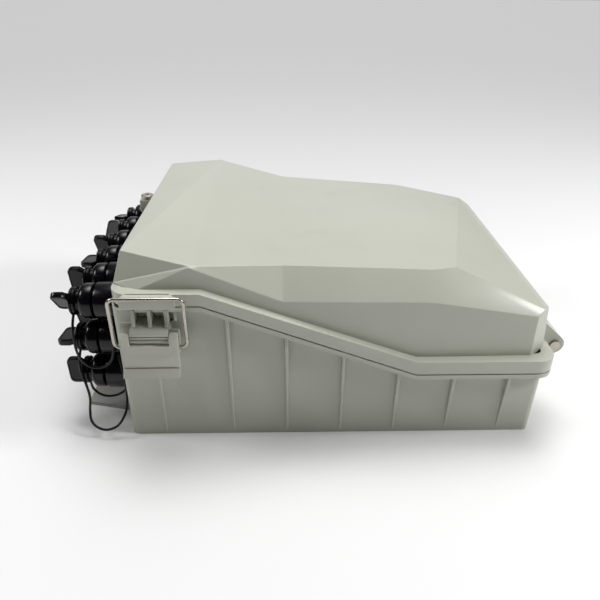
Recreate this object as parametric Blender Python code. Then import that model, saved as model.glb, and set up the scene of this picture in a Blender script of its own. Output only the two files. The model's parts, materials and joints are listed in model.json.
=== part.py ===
"""Sixteen-port fibre termination box, lying on its back.

Metres, +Z up.  -X is the end that carries the ports, +X the hinge end,
-Y the side with the near latch.  The back of the housing stands on Z = 0.
"""
import math

import bmesh
import bpy
from mathutils import Vector

# ---------------------------------------------------------------- dimensions
BOX_LEN = 0.3220          # housing length, port wall to hinge wall
BOX_HALF_W = 0.1250       # housing half width at the rim
SIDE_DRAFT = 0.0030       # how much narrower each side is at the back
RIM_HIGH = 0.1200         # parting line above the back, port end
RIM_LOW = 0.0605          # parting line above the back, hinge end
SLOPE_X0 = -0.0970        # where the parting line starts to fall
SLOPE_X1 = 0.0610         # where it is level again
WALL = 0.0032             # moulded wall
BASE_FLANGE_T = 0.0040    # flange of the housing
LID_FLANGE_HIGH = 0.0100  # flange of the lid, port end
LID_FLANGE_LOW = 0.0115   # flange of the lid, hinge end
FLANGE_OUT = 0.0050       # flange past the rim on the long sides
FLANGE_END = 0.0080       # flange past the hinge wall
GAP = 0.0003              # air between neighbouring pieces
CORNER_R = 0.0160         # plan radius of the flange corners
BASE_R = 0.0060           # plan radius of the housing corners

RIB_PITCH = 0.0425        # seven upright gussets on each long side
RIB_T = 0.0032
RIB_X0 = -0.0790
RIB_COUNT = 6
RIB_FIRST = -0.1330

PORT_PITCH_Y = 0.0370     # six columns of ports
PORT_ROWS = (0.0430, 0.0745, 0.1060)
PORT_COUNTS = (5, 5, 6)
PORT_TURNS = ((4, 71, 148, 33, 112), (86, 18, 64, 127, 9), (40, 10, 84, 28, 122, 76))
HOLE_R = 0.0093
BARREL_R = 0.0090
COLLAR_R = 0.0145
COLLAR_L = 0.0195
NOSE_R = 0.0100
NOSE_L = 0.0012           # groove between collar and cap
CAP_R = 0.0138
CAP_L = 0.0100
NECK_R = 0.0088
NECK_L = 0.0080
TAB_L = 0.0145
TAB_W = 0.0240
TAB_T = 0.0052
RING_PROUD = 0.0022        # tether ring past the neck it sits on
TETHER_R = 0.0010
TETHER_STEP = 0.0040       # spacing of a tether's points
PORT_SIDES = 16

LATCH_X = -0.1330
LATCH_W = 0.0400
LEVER_TOP = 0.1032
LEVER_LOW = 0.0748
LIP_LOW = 0.0704
LATCH_PIN_Z = 0.1000
LATCH_PIN_OUT = 0.0085    # pin axis out from the side wall
LATCH_PIN_R = 0.0015
PLATE_DROP = 0.0056        # lever plate's top below the pin axis
BAIL_Z = 0.0905
BAIL_R = 0.0014
BAIL_HALF = 0.0258
KEEPER_W = 0.0380
KEEPER_OUT = 0.0095       # keeper face out from the side wall

HINGE_X_OUT = 0.0095      # hinge axis out from the flange end
HINGE_Z = 0.0660
HINGE_Y = 0.0800
HINGE_R = 0.0080
HINGE_PIN_R = 0.0025
KNUCKLE_W = 0.0180
OUTER_KNUCKLE_W = 0.0075
HINGE_GAP = 0.00045

TRAY_L = 0.1500
TRAY_W = 0.1700
TRAY_H = 0.0100
TRAY_Z = 0.0600

PORT_WALL = 0.0080        # port wall, thick enough for the gasket groove

BRACKET_HOLE_X = 0.0300
BRACKET_HOLE_Y = 0.0600
BRACKET_HOLE_R = 0.0030

LOCK_OUT = 0.0130         # locking screw out from the port wall
LOCK_LUG_H = 0.0135       # lid lug above the parting line

# ------------------------------------------------------------------- derived
X_L = -BOX_LEN / 2
LOCK_X = X_L - LOCK_OUT
LOCK_Y = PORT_PITCH_Y * 2.0
X_R = BOX_LEN / 2
FL_HALF = BOX_HALF_W + FLANGE_OUT
FL_R = X_R + FLANGE_END
HINGE_X = FL_R + HINGE_X_OUT
SIDES = (("near", -1), ("far", 1))


def clear_scene():
    for ob in list(bpy.data.objects):
        bpy.data.objects.remove(ob, do_unlink=True)


def material(name, colour, rough=0.5, metal=0.0, alpha=1.0):
    mat = bpy.data.materials.new(name)
    mat.use_nodes = True
    bsdf = mat.node_tree.nodes["Principled BSDF"]
    bsdf.inputs["Base Color"].default_value = (*colour, 1.0)
    bsdf.inputs["Roughness"].default_value = rough
    bsdf.inputs["Metallic"].default_value = metal
    bsdf.inputs["Alpha"].default_value = alpha
    return mat


GREY = (0.56, 0.56, 0.52)
PALE = (0.62, 0.62, 0.58)
BLACK = (0.015, 0.015, 0.016)
STEEL = (0.62, 0.62, 0.60)
ZINC = (0.50, 0.50, 0.49)
CLEAR = (0.75, 0.78, 0.80)
RUBBER = (0.05, 0.05, 0.05)


def finish(name, bm, mat):
    bmesh.ops.remove_doubles(bm, verts=bm.verts, dist=0.00001)
    bmesh.ops.recalc_face_normals(bm, faces=bm.faces)
    mesh = bpy.data.meshes.new(name)
    bm.to_mesh(mesh)
    bm.free()
    if sum(p.area * p.center.dot(p.normal) for p in mesh.polygons) < 0:
        mesh.flip_normals()
    ob = bpy.data.objects.new(name, mesh)
    bpy.context.scene.collection.objects.link(ob)
    if mat is not None:
        ob.data.materials.append(mat)
    return ob


def loft(name, rings, mat=None):
    """Closed body through rings of equal point count, capped at both ends."""
    bm = bmesh.new()
    loops = [[bm.verts.new(p) for p in ring] for ring in rings]
    count = len(rings[0])
    for a, b in zip(loops[:-1], loops[1:]):
        for i in range(count):
            j = (i + 1) % count
            bm.faces.new((a[i], a[j], b[j], b[i]))
    bm.faces.new(list(reversed(loops[0])))
    bm.faces.new(loops[-1])
    bmesh.ops.triangulate(bm, faces=bm.faces)
    return finish(name, bm, mat)


def box(name, lo, hi, mat=None):
    x0, y0, z0 = lo
    x1, y1, z1 = hi
    low = [(x0, y0, z0), (x1, y0, z0), (x1, y1, z0), (x0, y1, z0)]
    top = [(x, y, z1) for x, y, z in low]
    return loft(name, [low, top], mat)


def prism(name, outline, axis, lo, hi, mat=None):
    """Outline of (a, b) pairs drawn out along x, y or z."""
    def place(a, b, c):
        if axis == "x":
            return (c, a, b)
        if axis == "y":
            return (a, c, b)
        return (a, b, c)
    return loft(name, [[place(a, b, c) for a, b in outline] for c in (lo, hi)], mat)


def turned(name, profile, axis, centre, sides, mat=None):
    """Profile of (along, radius) pairs turned about an axis; radius 0 closes."""
    bm = bmesh.new()
    cx, cy, cz = centre
    loops = []
    for along, radius in profile:
        if radius <= 0:
            if axis == "x":
                loops.append([bm.verts.new((cx + along, cy, cz))])
            elif axis == "y":
                loops.append([bm.verts.new((cx, cy + along, cz))])
            else:
                loops.append([bm.verts.new((cx, cy, cz + along))])
            continue
        ring = []
        for i in range(sides):
            t = math.tau * (i + 0.5) / sides
            a = radius * math.cos(t)
            b = radius * math.sin(t)
            if axis == "x":
                ring.append(bm.verts.new((cx + along, cy + a, cz + b)))
            elif axis == "y":
                ring.append(bm.verts.new((cx + a, cy + along, cz + b)))
            else:
                ring.append(bm.verts.new((cx + a, cy + b, cz + along)))
        loops.append(ring)
    for a, b in zip(loops[:-1], loops[1:]):
        for i in range(sides):
            j = (i + 1) % sides
            if len(a) == 1:
                bm.faces.new((a[0], b[j], b[i]))
            elif len(b) == 1:
                bm.faces.new((a[i], a[j], b[0]))
            else:
                bm.faces.new((a[i], a[j], b[j], b[i]))
    return finish(name, bm, mat)


def rod(name, axis, centre, radius, lo, hi, sides=16, mat=None):
    profile = [(lo, 0), (lo, radius), (hi, radius), (hi, 0)]
    return turned(name, profile, axis, centre, sides, mat)


def boolean(target, tool, operation):
    mod = target.modifiers.new(operation.lower(), "BOOLEAN")
    mod.operation = operation
    mod.solver = "EXACT"
    mod.object = tool
    bpy.context.view_layer.objects.active = target
    bpy.ops.object.modifier_apply(modifier=mod.name)
    bpy.data.objects.remove(tool, do_unlink=True)


def join(target, tools):
    for tool in tools:
        boolean(target, tool, "UNION")


def cut(target, tools):
    for tool in tools:
        boolean(target, tool, "DIFFERENCE")


def set_origin(ob, point):
    shift = Vector(point)
    ob.data.transform(ob.matrix_world)
    for v in ob.data.vertices:
        v.co -= shift
    ob.location = shift


# ------------------------------------------------------------ rim and stations
def ramp(x, high, low):
    """Height that follows the parting line: level, falling, level."""
    if x <= SLOPE_X0:
        return high
    if x >= SLOPE_X1:
        return low
    t = (x - SLOPE_X0) / (SLOPE_X1 - SLOPE_X0)
    return high + (low - high) * t


def rim(x):
    return ramp(x, RIM_HIGH, RIM_LOW)


def lid_foot(x):
    return ramp(x, RIM_HIGH + LID_FLANGE_HIGH, RIM_LOW + LID_FLANGE_LOW)


def half_at(x, half, x0, x1, radius):
    """Half width of a rounded plan at x."""
    d = min(x - x0, x1 - x)
    if d >= radius:
        return half
    d = radius - max(d, 0.0)
    return half - radius + math.sqrt(max(radius * radius - d * d, 0.0))


def stations(x0, x1, radius):
    corner = [radius * (1 - math.cos(math.radians(a))) for a in (0, 30, 60, 90)]
    xs = [x0 + c for c in corner]
    xs += [SLOPE_X0, SLOPE_X1]
    xs += [x1 - c for c in reversed(corner)]
    return xs


def slab(name, x0, x1, half, radius, low, high, half_low=None, mat=None):
    """Plate with a rounded plan whose faces follow low(x) and high(x)."""
    half_low = half if half_low is None else half_low
    rings = []
    for x in stations(x0, x1, radius):
        a = half_at(x, half_low, x0, x1, radius)
        b = half_at(x, half, x0, x1, radius)
        rings.append([(x, -a, low(x)), (x, a, low(x)), (x, b, high(x)), (x, -b, high(x))])
    return loft(name, rings, mat)


def rib_positions():
    return [RIB_FIRST] + [RIB_X0 + RIB_PITCH * k for k in range(RIB_COUNT)]


def port_positions():
    out = []
    for row, (z, count) in enumerate(zip(PORT_ROWS, PORT_COUNTS)):
        for k in range(count):
            y = (k - 2.5) * PORT_PITCH_Y
            out.append((row * 6 + k, y, z, PORT_TURNS[row][k]))
    return out


# -------------------------------------------------------------------- housing
BOSS_X = (-0.0950, 0.1050)
BOSS_Y = (-0.0950, 0.0950)
BOSS_TOP = 0.0200
BOSS_R = 0.0060
PLATE_T = 0.0020


def build_base():
    ob = slab("base_housing", X_L, X_R, BOX_HALF_W, BASE_R,
              lambda x: 0.0, lambda x: rim(x) - 0.001, BOX_HALF_W - SIDE_DRAFT,
              material("housing_grey", GREY, 0.45))
    flange = slab("tool", X_L, FL_R, FL_HALF, CORNER_R,
                  lambda x: rim(x) - BASE_FLANGE_T, rim)
    ribs = []
    for x in rib_positions():
        top = rim(x) - BASE_FLANGE_T + 0.0005
        for _, s in SIDES:
            inner = BOX_HALF_W - 0.0050
            outline = [(s * inner, 0.0040), (s * (BOX_HALF_W - SIDE_DRAFT + 0.0008), 0.0040),
                       (s * (BOX_HALF_W + FLANGE_OUT - 0.0010), top), (s * inner, top)]
            ribs.append(prism("tool", outline, "x", x - RIB_T / 2, x + RIB_T / 2))
    join(ob, [flange] + ribs)
    floor = WALL
    cavity = slab("tool", X_L + WALL, X_R - WALL, BOX_HALF_W - WALL, BASE_R - 0.002,
                  lambda x: floor, lambda x: rim(x) + 0.004, BOX_HALF_W - SIDE_DRAFT - WALL)
    cut(ob, [cavity])
    # thicken the port wall so that the groove stays in solid material
    thick = box("tool", (X_L + 0.0020, -BOX_HALF_W + 0.006, 0.0030),
                (X_L + PORT_WALL, BOX_HALF_W - 0.006, RIM_HIGH - 0.0010))
    join(ob, [thick])
    # bracket pocket and the pad above it
    pad = box("tool", (X_L + 0.004, -0.1000, 0.0010), (X_L + 0.0750, 0.1000, 0.0072))
    add = [pad]
    for x in BOSS_X:
        for y in BOSS_Y:
            add.append(rod("tool", "z", (x, y, 0), BOSS_R, 0.002, BOSS_TOP))
    join(ob, add)
    pocket = box("tool", (X_L - 0.001, -0.0945, -0.001), (X_L + 0.0650, 0.0945, 0.0036))
    holes = [pocket]
    for x in BOSS_X:
        for y in BOSS_Y:
            holes.append(rod("tool", "z", (x, y, 0), 0.0016, 0.009, BOSS_TOP + 0.002, 12))
    for _, y, z, _ in port_positions():
        holes.append(rod("tool", "x", (X_L, y, z), HOLE_R, -0.002, 0.012, PORT_SIDES))
    for y in (-0.0700, 0.0700):
        holes.append(rod("tool", "z", (X_L + 0.035, y, 0), 0.0021, 0.002, 0.009, 12))
    cut(ob, holes)
    # latch seats: a barrel carried on three upright bars
    for _, s in SIDES:
        pin_y = s * (BOX_HALF_W + LATCH_PIN_OUT)
        barrel = rod("tool", "x", (LATCH_X, pin_y, LATCH_PIN_Z), 0.0058, -0.0135, 0.0135, 20)
        web = box("tool", sorted_lo((LATCH_X - 0.0135, s * (BOX_HALF_W - 0.0035), LATCH_PIN_Z - 0.0045),
                                    (LATCH_X + 0.0135, pin_y, LATCH_PIN_Z + 0.0045)),
                  sorted_hi((LATCH_X - 0.0135, s * (BOX_HALF_W - 0.0035), LATCH_PIN_Z - 0.0045),
                            (LATCH_X + 0.0135, pin_y, LATCH_PIN_Z + 0.0045)))
        bars = []
        for k in (-1, 0, 1):
            a = (LATCH_X + 0.0120 * k - 0.0016, s * (BOX_HALF_W - 0.0035), LATCH_PIN_Z)
            b = (LATCH_X + 0.0120 * k + 0.0016, s * (BOX_HALF_W + 0.0095), RIM_HIGH - 0.0020)
            bars.append(box("tool", sorted_lo(a, b), sorted_hi(a, b)))
        join(ob, [web, barrel] + bars)
        bore = rod("tool", "x", (LATCH_X, pin_y, LATCH_PIN_Z), LATCH_PIN_R + 0.00035, -0.02, 0.02, 16)
        cut(ob, [bore])
    # one wide hinge knuckle of the housing between each pair on the lid
    add = []
    for _, s in SIDES:
        add += knuckle("tool", s * HINGE_Y, KNUCKLE_W, False)
    join(ob, add)
    cut(ob, [rod("tool", "y", (HINGE_X, s * HINGE_Y, HINGE_Z), HINGE_PIN_R + 0.0003, -0.03, 0.03)
             for _, s in SIDES])
    # lug for the locking screw at the far corner of the port end
    half = PORT_PITCH_Y / 2 - COLLAR_R - GAP
    lug = box("tool", (LOCK_X - 0.0055, LOCK_Y - half, RIM_HIGH - 0.0110), (X_L + 0.0030, LOCK_Y + half, RIM_HIGH))
    join(ob, [lug])
    cut(ob, [rod("tool", "z", (LOCK_X, LOCK_Y, 0), 0.0021, RIM_HIGH - 0.0130, RIM_HIGH + 0.004, 14)])
    # gasket groove along the rim
    outer = slab("tool", X_L + 0.0018, X_R + 0.0045, BOX_HALF_W + 0.0022, BASE_R,
                 lambda x: rim(x) - 0.0022, lambda x: rim(x) + 0.002)
    inner = slab("tool2", X_L + 0.0054, X_R + 0.0009, BOX_HALF_W - 0.0014, BASE_R - 0.0015,
                 lambda x: rim(x) - 0.0040, lambda x: rim(x) + 0.004)
    cut(outer, [inner])
    cut(ob, [outer])
    return ob


def sorted_lo(a, b):
    return tuple(min(p, q) for p, q in zip(a, b))


def sorted_hi(a, b):
    return tuple(max(p, q) for p, q in zip(a, b))


def knuckle(name, y, width, upper):
    """Round hinge eye with a web that runs back to its flange."""
    lo = y - width / 2
    hi = y + width / 2
    eye = rod(name, "y", (HINGE_X, 0, HINGE_Z), HINGE_R, lo, hi, 24)
    if upper:
        outline = [(FL_R - 0.004, RIM_LOW + 0.0040), (HINGE_X, HINGE_Z - 0.0020),
                   (HINGE_X + HINGE_R * 0.6, HINGE_Z + HINGE_R * 0.8),
                   (FL_R - 0.004, RIM_LOW + LID_FLANGE_LOW + 0.0170),
                   (FL_R - 0.0105, RIM_LOW + LID_FLANGE_LOW + 0.0170),
                   (FL_R - 0.0105, RIM_LOW + LID_FLANGE_LOW - 0.002)]
    else:
        outline = [(X_R - 0.001, RIM_LOW - 0.0230), (HINGE_X, HINGE_Z - HINGE_R),
                   (HINGE_X, HINGE_Z), (FL_R - 0.001, RIM_LOW - 0.001), (X_R - 0.001, RIM_LOW - 0.001)]
    web = prism(name, outline, "y", lo, hi)
    return [web, eye]


# ------------------------------------------------------------------------ lid
# stations of the lid skin: foot, shoulder and top edge, near side then far side
def lid_rings(inset=0.0, drop=0.0):
    """Rings of (foot, shoulder, crown) points on both sides of the lid."""
    h = BOX_HALF_W - 0.0030
    zf = lid_foot
    rows = [
        (X_L, h - 0.0100, X_L + 0.0008, h - 0.0092, 0.1312, X_L + 0.0069, h - 0.0160, 0.1533,
         X_L + 0.0070, h - 0.0090, 0.1312, 0.1580),
        (X_L + 0.0160, h, -0.1040, h - 0.0010, 0.1462, -0.1040, h - 0.0030, 0.1465,
         -0.1040, h - 0.0030, 0.1462, 0.1605),
        (SLOPE_X0, h, -0.1000, h - 0.0008, 0.1443, -0.0990, h - 0.0040, 0.1461,
         -0.0990, h - 0.0040, 0.1443, 0.1592),
        (-0.0390, h, -0.0390, h - 0.0005, 0.1190, -0.0390, h - 0.0205, 0.1392,
         -0.0390, h - 0.0155, 0.1190, 0.1460),
        (SLOPE_X1, h, SLOPE_X1, h - 0.0008, 0.1178, SLOPE_X1 + 0.0013, h - 0.0200, 0.1359,
         SLOPE_X1, h - 0.0165, 0.1178, 0.1390),
        (0.0720, h, 0.0715, h - 0.0010, 0.1172, 0.0704, h - 0.0200, 0.1355,
         0.0740, h - 0.0175, 0.1172, 0.1382),
        (0.0900, h, 0.0900, h - 0.0014, 0.1142, 0.0896, h - 0.0240, 0.1357,
         0.0840, h - 0.0185, 0.1142, 0.1372),
        (0.1490, h - 0.0010, 0.1500, h - 0.0030, 0.1042, 0.1570, h - 0.0080, 0.1075,
         0.1500, h - 0.0110, 0.1080, 0.1215),
        (X_R + 0.0030, h - 0.0140, X_R + 0.0005, h - 0.0140, 0.1065, X_R - 0.0015, h - 0.0140, 0.1080,
         X_R - 0.0020, h - 0.0180, 0.1085, 0.1160),
    ]
    last = len(rows) - 1
    rings = []
    for i, r in enumerate(rows):
        fx, fy, sx, sy, sz, cx, cy, cz, gx, gy, gsz, gz = r
        if i == 0:
            fx, sx, cx, gx = fx + inset, sx + inset, cx + inset, gx + inset
        if i == last:
            fx, sx, cx, gx = fx - inset, sx - inset, cx - inset, gx - inset
        foot = zf(fx) - 0.0020 if inset == 0.0 else rim(fx) - 0.0060
        rings.append([
            (fx, -fy + inset, foot), (sx, -sy + inset, sz - drop), (cx, -cy + inset, cz - drop),
            (gx, gy - inset, gz - drop), (sx, sy - inset, gsz - drop), (fx, fy - inset, foot)])
    return rings


def build_lid():
    ob = loft("lid", lid_rings(), material("lid_grey", PALE, 0.42))
    flange = slab("tool", X_L, FL_R, FL_HALF, CORNER_R,
                  lambda x: rim(x) + GAP, lid_foot)
    join(ob, [flange])
    hollow = loft("tool", lid_rings(WALL, WALL * 1.1))
    cut(ob, [hollow])
    add = []
    for _, s in SIDES:
        a = (LATCH_X - KEEPER_W / 2, s * (BOX_HALF_W + 0.0035), RIM_HIGH + GAP)
        b = (LATCH_X + KEEPER_W / 2, s * (BOX_HALF_W + KEEPER_OUT), RIM_HIGH + LID_FLANGE_HIGH)
        add.append(box("tool", sorted_lo(a, b), sorted_hi(a, b)))
        for k in (-1, 1):
            y = s * HINGE_Y + k * (KNUCKLE_W + OUTER_KNUCKLE_W + 2 * HINGE_GAP) / 2
            add += knuckle("tool", y, OUTER_KNUCKLE_W, True)
    lug = box("tool", (LOCK_X - 0.0070, LOCK_Y - 0.0070, RIM_HIGH + GAP),
              (X_L + 0.0040, LOCK_Y + 0.0070, RIM_HIGH + LOCK_LUG_H))
    join(ob, add + [lug])
    cut(ob, [rod("tool", "y", (HINGE_X, s * HINGE_Y, HINGE_Z), HINGE_PIN_R + 0.0003, -0.03, 0.03)
             for _, s in SIDES])
    cut(ob, [rod("tool", "z", (LOCK_X, LOCK_Y, 0), 0.0024, RIM_HIGH - 0.004, RIM_HIGH + 0.020, 14)])
    set_origin(ob, (HINGE_X, 0, HINGE_Z))
    return ob


def build_seal():
    ob = slab("lid_seal", X_L + 0.0020, X_R + 0.0043, BOX_HALF_W + 0.0020, BASE_R,
              lambda x: rim(x) - 0.0019, rim, None, material("seal_rubber", RUBBER, 0.7))
    inner = slab("tool", X_L + 0.0052, X_R + 0.0011, BOX_HALF_W - 0.0012, BASE_R - 0.0015,
                 lambda x: rim(x) - 0.0040, lambda x: rim(x) + 0.004)
    cut(ob, [inner])
    return ob


# ------------------------------------------------------------- hinge and latch
def build_hinge_pins():
    mat = material("hinge_pin_steel", STEEL, 0.3, 1.0)
    half = KNUCKLE_W / 2 + HINGE_GAP + OUTER_KNUCKLE_W
    for name, s in SIDES:
        profile = [(-half - 0.0022, 0), (-half - 0.0022, 0.0040), (-half - 0.0004, 0.0040),
                   (-half - 0.0004, HINGE_PIN_R), (half + 0.0010, HINGE_PIN_R), (half + 0.0010, 0)]
        turned("hinge_pin_" + name, profile, "y", (HINGE_X, s * HINGE_Y, HINGE_Z), 16, mat)


def build_lever(name, s):
    base = BOX_HALF_W + LATCH_PIN_OUT
    out = base + 0.0075
    w = LATCH_W / 2
    outline = [(s * (out - 0.0040), LATCH_PIN_Z - PLATE_DROP), (s * out, LATCH_PIN_Z - PLATE_DROP),
               (s * out, LEVER_LOW), (s * (out + 0.0042), LIP_LOW), (s * (out + 0.0016), LIP_LOW - 0.0006),
               (s * (out - 0.0036), LEVER_LOW - 0.0012)]
    ob = prism("latch_lever_" + name, outline, "x", LATCH_X - w, LATCH_X + w,
               material("lever_grey_" + name, PALE, 0.42))
    edge = out - 0.0003
    cheek = [(s * (base - 0.0045), BAIL_Z - 0.0040), (s * edge, BAIL_Z - 0.0040), (s * edge, LEVER_TOP - 0.0030),
             (s * (edge - 0.0030), LEVER_TOP), (s * (base - 0.0030), LEVER_TOP), (s * (base - 0.0055), LEVER_TOP - 0.0030)]
    parts = []
    for k in (-1, 1):
        lo = LATCH_X + k * (w - 0.0003)
        hi = LATCH_X + k * 0.0140
        parts.append(prism("tool", cheek, "x", min(lo, hi), max(lo, hi)))
    join(ob, parts)
    cut(ob, [rod("tool", "x", (LATCH_X, s * base, LATCH_PIN_Z), LATCH_PIN_R + 0.00035, -0.03, 0.03)])
    cut(ob, [rod("tool", "x", (LATCH_X, s * (base + 0.0012), BAIL_Z), BAIL_R + 0.0004, -0.03, 0.03, 12)])
    set_origin(ob, (LATCH_X, s * base, LATCH_PIN_Z))
    return ob


def tube(name, path, radius, sides, mat):
    """Round wire along a path that bends in one plane at a time."""
    bm = bmesh.new()
    pts = [Vector(p) for p in path]
    loops = []
    normal = None
    for i, p in enumerate(pts):
        if i == 0:
            d = (pts[1] - p).normalized()
        elif i == len(pts) - 1:
            d = (p - pts[i - 1]).normalized()
        else:
            d = ((p - pts[i - 1]).normalized() + (pts[i + 1] - p).normalized()).normalized()
        if normal is None:
            normal = d.cross(Vector((0, 1, 0.0001))).normalized()
        normal = (normal - d * normal.dot(d)).normalized()
        other = d.cross(normal)
        ring = []
        for k in range(sides):
            t = math.tau * (k + 0.5) / sides
            ring.append(bm.verts.new(p + normal * (radius * math.cos(t)) + other * (radius * math.sin(t))))
        loops.append(ring)
    for a, b in zip(loops[:-1], loops[1:]):
        for k in range(sides):
            m = (k + 1) % sides
            bm.faces.new((a[k], a[m], b[m], b[k]))
    bm.faces.new(list(reversed(loops[0])))
    bm.faces.new(loops[-1])
    return finish(name, bm, mat)


def build_bail(name, s):
    y = s * (BOX_HALF_W + LATCH_PIN_OUT + 0.0012)
    top_y = s * (BOX_HALF_W + KEEPER_OUT + BAIL_R + GAP)
    top_z = RIM_HIGH + LID_FLANGE_HIGH - BAIL_R * 0.4
    half = BAIL_HALF
    end = 0.0172
    r = 0.0035
    low = BAIL_Z
    path = []
    for k in (-1, 1):
        side = []
        side.append((LATCH_X + k * end, y, low))
        for a in (0, 30, 60, 90):
            t = math.radians(a)
            side.append((LATCH_X + k * (half - r + r * math.sin(t)), y, low + r - r * math.cos(t)))
        for a in (0, 30, 60, 90):
            t = math.radians(a)
            side.append((LATCH_X + k * (half - r + r * math.cos(t)), top_y, top_z - r + r * math.sin(t)))
        path += side if k == -1 else list(reversed(side))
    ob = tube("latch_bail_" + name, path, BAIL_R, 10, material("bail_steel_" + name, STEEL, 0.25, 1.0))
    set_origin(ob, (LATCH_X, y, low))
    return ob


def build_latches():
    pin = material("latch_pin_steel", STEEL, 0.3, 1.0)
    for name, s in SIDES:
        build_lever(name, s)
        build_bail(name, s)
        rod("latch_pin_" + name, "x", (LATCH_X, s * (BOX_HALF_W + LATCH_PIN_OUT), LATCH_PIN_Z), LATCH_PIN_R,
            -LATCH_W / 2 + 0.0004, LATCH_W / 2 - 0.0004, 14, pin)


def build_lock_screw():
    z = RIM_HIGH + LOCK_LUG_H + GAP
    profile = [(z + 0.0012, 0), (z + 0.0012, 0.0018), (z + 0.0034, 0.0018), (z + 0.0034, 0.0052),
               (z + 0.0026, 0.0062), (z, 0.0062), (z, 0.0018), (RIM_HIGH + GAP * 2, 0.0018), (RIM_HIGH + GAP * 2, 0)]
    ob = turned("lock_screw", profile, "z", (LOCK_X, LOCK_Y, 0), 18, material("lock_screw_steel", STEEL, 0.3, 1.0))
    set_origin(ob, (LOCK_X, LOCK_Y, z))


# ---------------------------------------------------------------------- ports
def build_ports():
    shell = material("adapter_black", BLACK, 0.25)
    soft = material("cap_black", BLACK, 0.22)
    for index, y, z, turn in port_positions():
        tag = "{:02d}".format(index)
        centre = (X_L, y, z)
        profile = [(0.0220, 0), (0.0220, 0.0048), (0.0150, 0.0062), (0.0150, BARREL_R + 0.0035),
                   (PORT_WALL + GAP, BARREL_R + 0.0035), (PORT_WALL + GAP, BARREL_R), (-GAP, BARREL_R),
                   (-GAP, COLLAR_R), (0.0012 - COLLAR_L, COLLAR_R), (-COLLAR_L, COLLAR_R - 0.0012),
                   (-COLLAR_L, NOSE_R), (-COLLAR_L - NOSE_L, NOSE_R), (-COLLAR_L - NOSE_L, 0)]
        turned("adapter_" + tag, profile, "x", centre, PORT_SIDES, shell)
        start = -COLLAR_L - NOSE_L - GAP
        end = start - CAP_L
        profile = [(start, 0), (start, CAP_R),
                   (end + 0.0020, CAP_R), (end, CAP_R - 0.0020), (end, NECK_R), (end - NECK_L * 0.4, NECK_R),
                   (end - NECK_L * 0.4, NECK_R + RING_PROUD), (end - NECK_L, NECK_R + RING_PROUD), (end - NECK_L, 0)]
        cap = turned("port_cap_" + tag, profile, "x", centre, PORT_SIDES, soft)
        x1 = end - NECK_L + 0.0010
        x0 = x1 - TAB_L
        w = TAB_W / 2
        outline = [(x1, -w * 0.55), (x1, w * 0.55), (x1 - 0.0035, w), (x0 + 0.0040, w), (x0, w - 0.0040),
                   (x0, -w + 0.0040), (x0 + 0.0040, -w), (x1 - 0.0035, -w)]
        t = math.radians(turn)
        c = math.cos(t)
        si = math.sin(t)
        rings = []
        for h in (-TAB_T / 2, TAB_T / 2):
            rings.append([(X_L + a, y + h * c - b * si, z + h * si + b * c) for a, b in outline])
        boolean(cap, loft("tool", rings), "UNION")
        set_origin(cap, centre)


# ------------------------------------------------------------------ the tethers
TETHER_ROUTES = {
    "00": ((-0.1978, -0.0925, 0.0317), (-0.1978, -0.0925, 0.0285), (-0.1964, -0.0930, 0.0235),
           (-0.1915, -0.0940, 0.0190), (-0.1850, -0.0945, 0.0172), (-0.1780, -0.0945, 0.0182),
           (-0.1720, -0.0940, 0.0213), (-0.1688, -0.0930, 0.0250), (-0.1680, -0.0925, 0.0281)),
    "06": ((-0.1978, -0.1005, 0.0664), (-0.1980, -0.1025, 0.0643), (-0.1982, -0.1056, 0.0592),
           (-0.1972, -0.1086, 0.0500), (-0.1942, -0.1112, 0.0400), (-0.1925, -0.1134, 0.0300),
           (-0.1932, -0.1162, 0.0200), (-0.1920, -0.1205, 0.0130), (-0.1865, -0.1250, 0.0098),
           (-0.1780, -0.1275, 0.0092), (-0.1695, -0.1250, 0.0120), (-0.1643, -0.1185, 0.0200),
           (-0.1634, -0.1135, 0.0300), (-0.1640, -0.1100, 0.0420), (-0.1655, -0.1075, 0.0530),
           (-0.1670, -0.1052, 0.0605), (-0.1680, -0.1032, 0.0638)),
    "12": ((-0.1978, -0.1005, 0.0979), (-0.1978, -0.1030, 0.0955), (-0.1977, -0.1072, 0.0895),
           (-0.1974, -0.1095, 0.0810), (-0.1970, -0.1098, 0.0720), (-0.1952, -0.1092, 0.0632),
           (-0.1912, -0.1082, 0.0570), (-0.1850, -0.1076, 0.0545), (-0.1780, -0.1078, 0.0560),
           (-0.1722, -0.1088, 0.0620), (-0.1692, -0.1096, 0.0710), (-0.1683, -0.1096, 0.0810),
           (-0.1680, -0.1072, 0.0895), (-0.1680, -0.1050, 0.0933), (-0.1680, -0.1032, 0.0953)),
}


def smooth_route(points, step):
    """Evenly spaced points on a smooth curve through the route's own points."""
    pts = [Vector(p) for p in points]
    pts = [pts[0] * 2 - pts[1]] + pts + [pts[-1] * 2 - pts[-2]]
    fine = []
    for a, b, c, d in zip(pts[:-3], pts[1:-2], pts[2:-1], pts[3:]):
        for i in range(20):
            t = i / 20
            fine.append((b * 2 + (c - a) * t + (a * 2 - b * 5 + c * 4 - d) * t ** 2
                         + (b * 3 - a - c * 3 + d) * t ** 3) / 2)
    fine.append(pts[-2])
    run = [0.0]
    for a, b in zip(fine[:-1], fine[1:]):
        run.append(run[-1] + (b - a).length)
    count = max(2, round(run[-1] / step))
    out = []
    k = 0
    for i in range(count + 1):
        want = run[-1] * i / count
        while k < len(run) - 2 and run[k + 1] < want:
            k += 1
        out.append(fine[k].lerp(fine[k + 1], (want - run[k]) / (run[k + 1] - run[k])))
    return out


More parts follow.
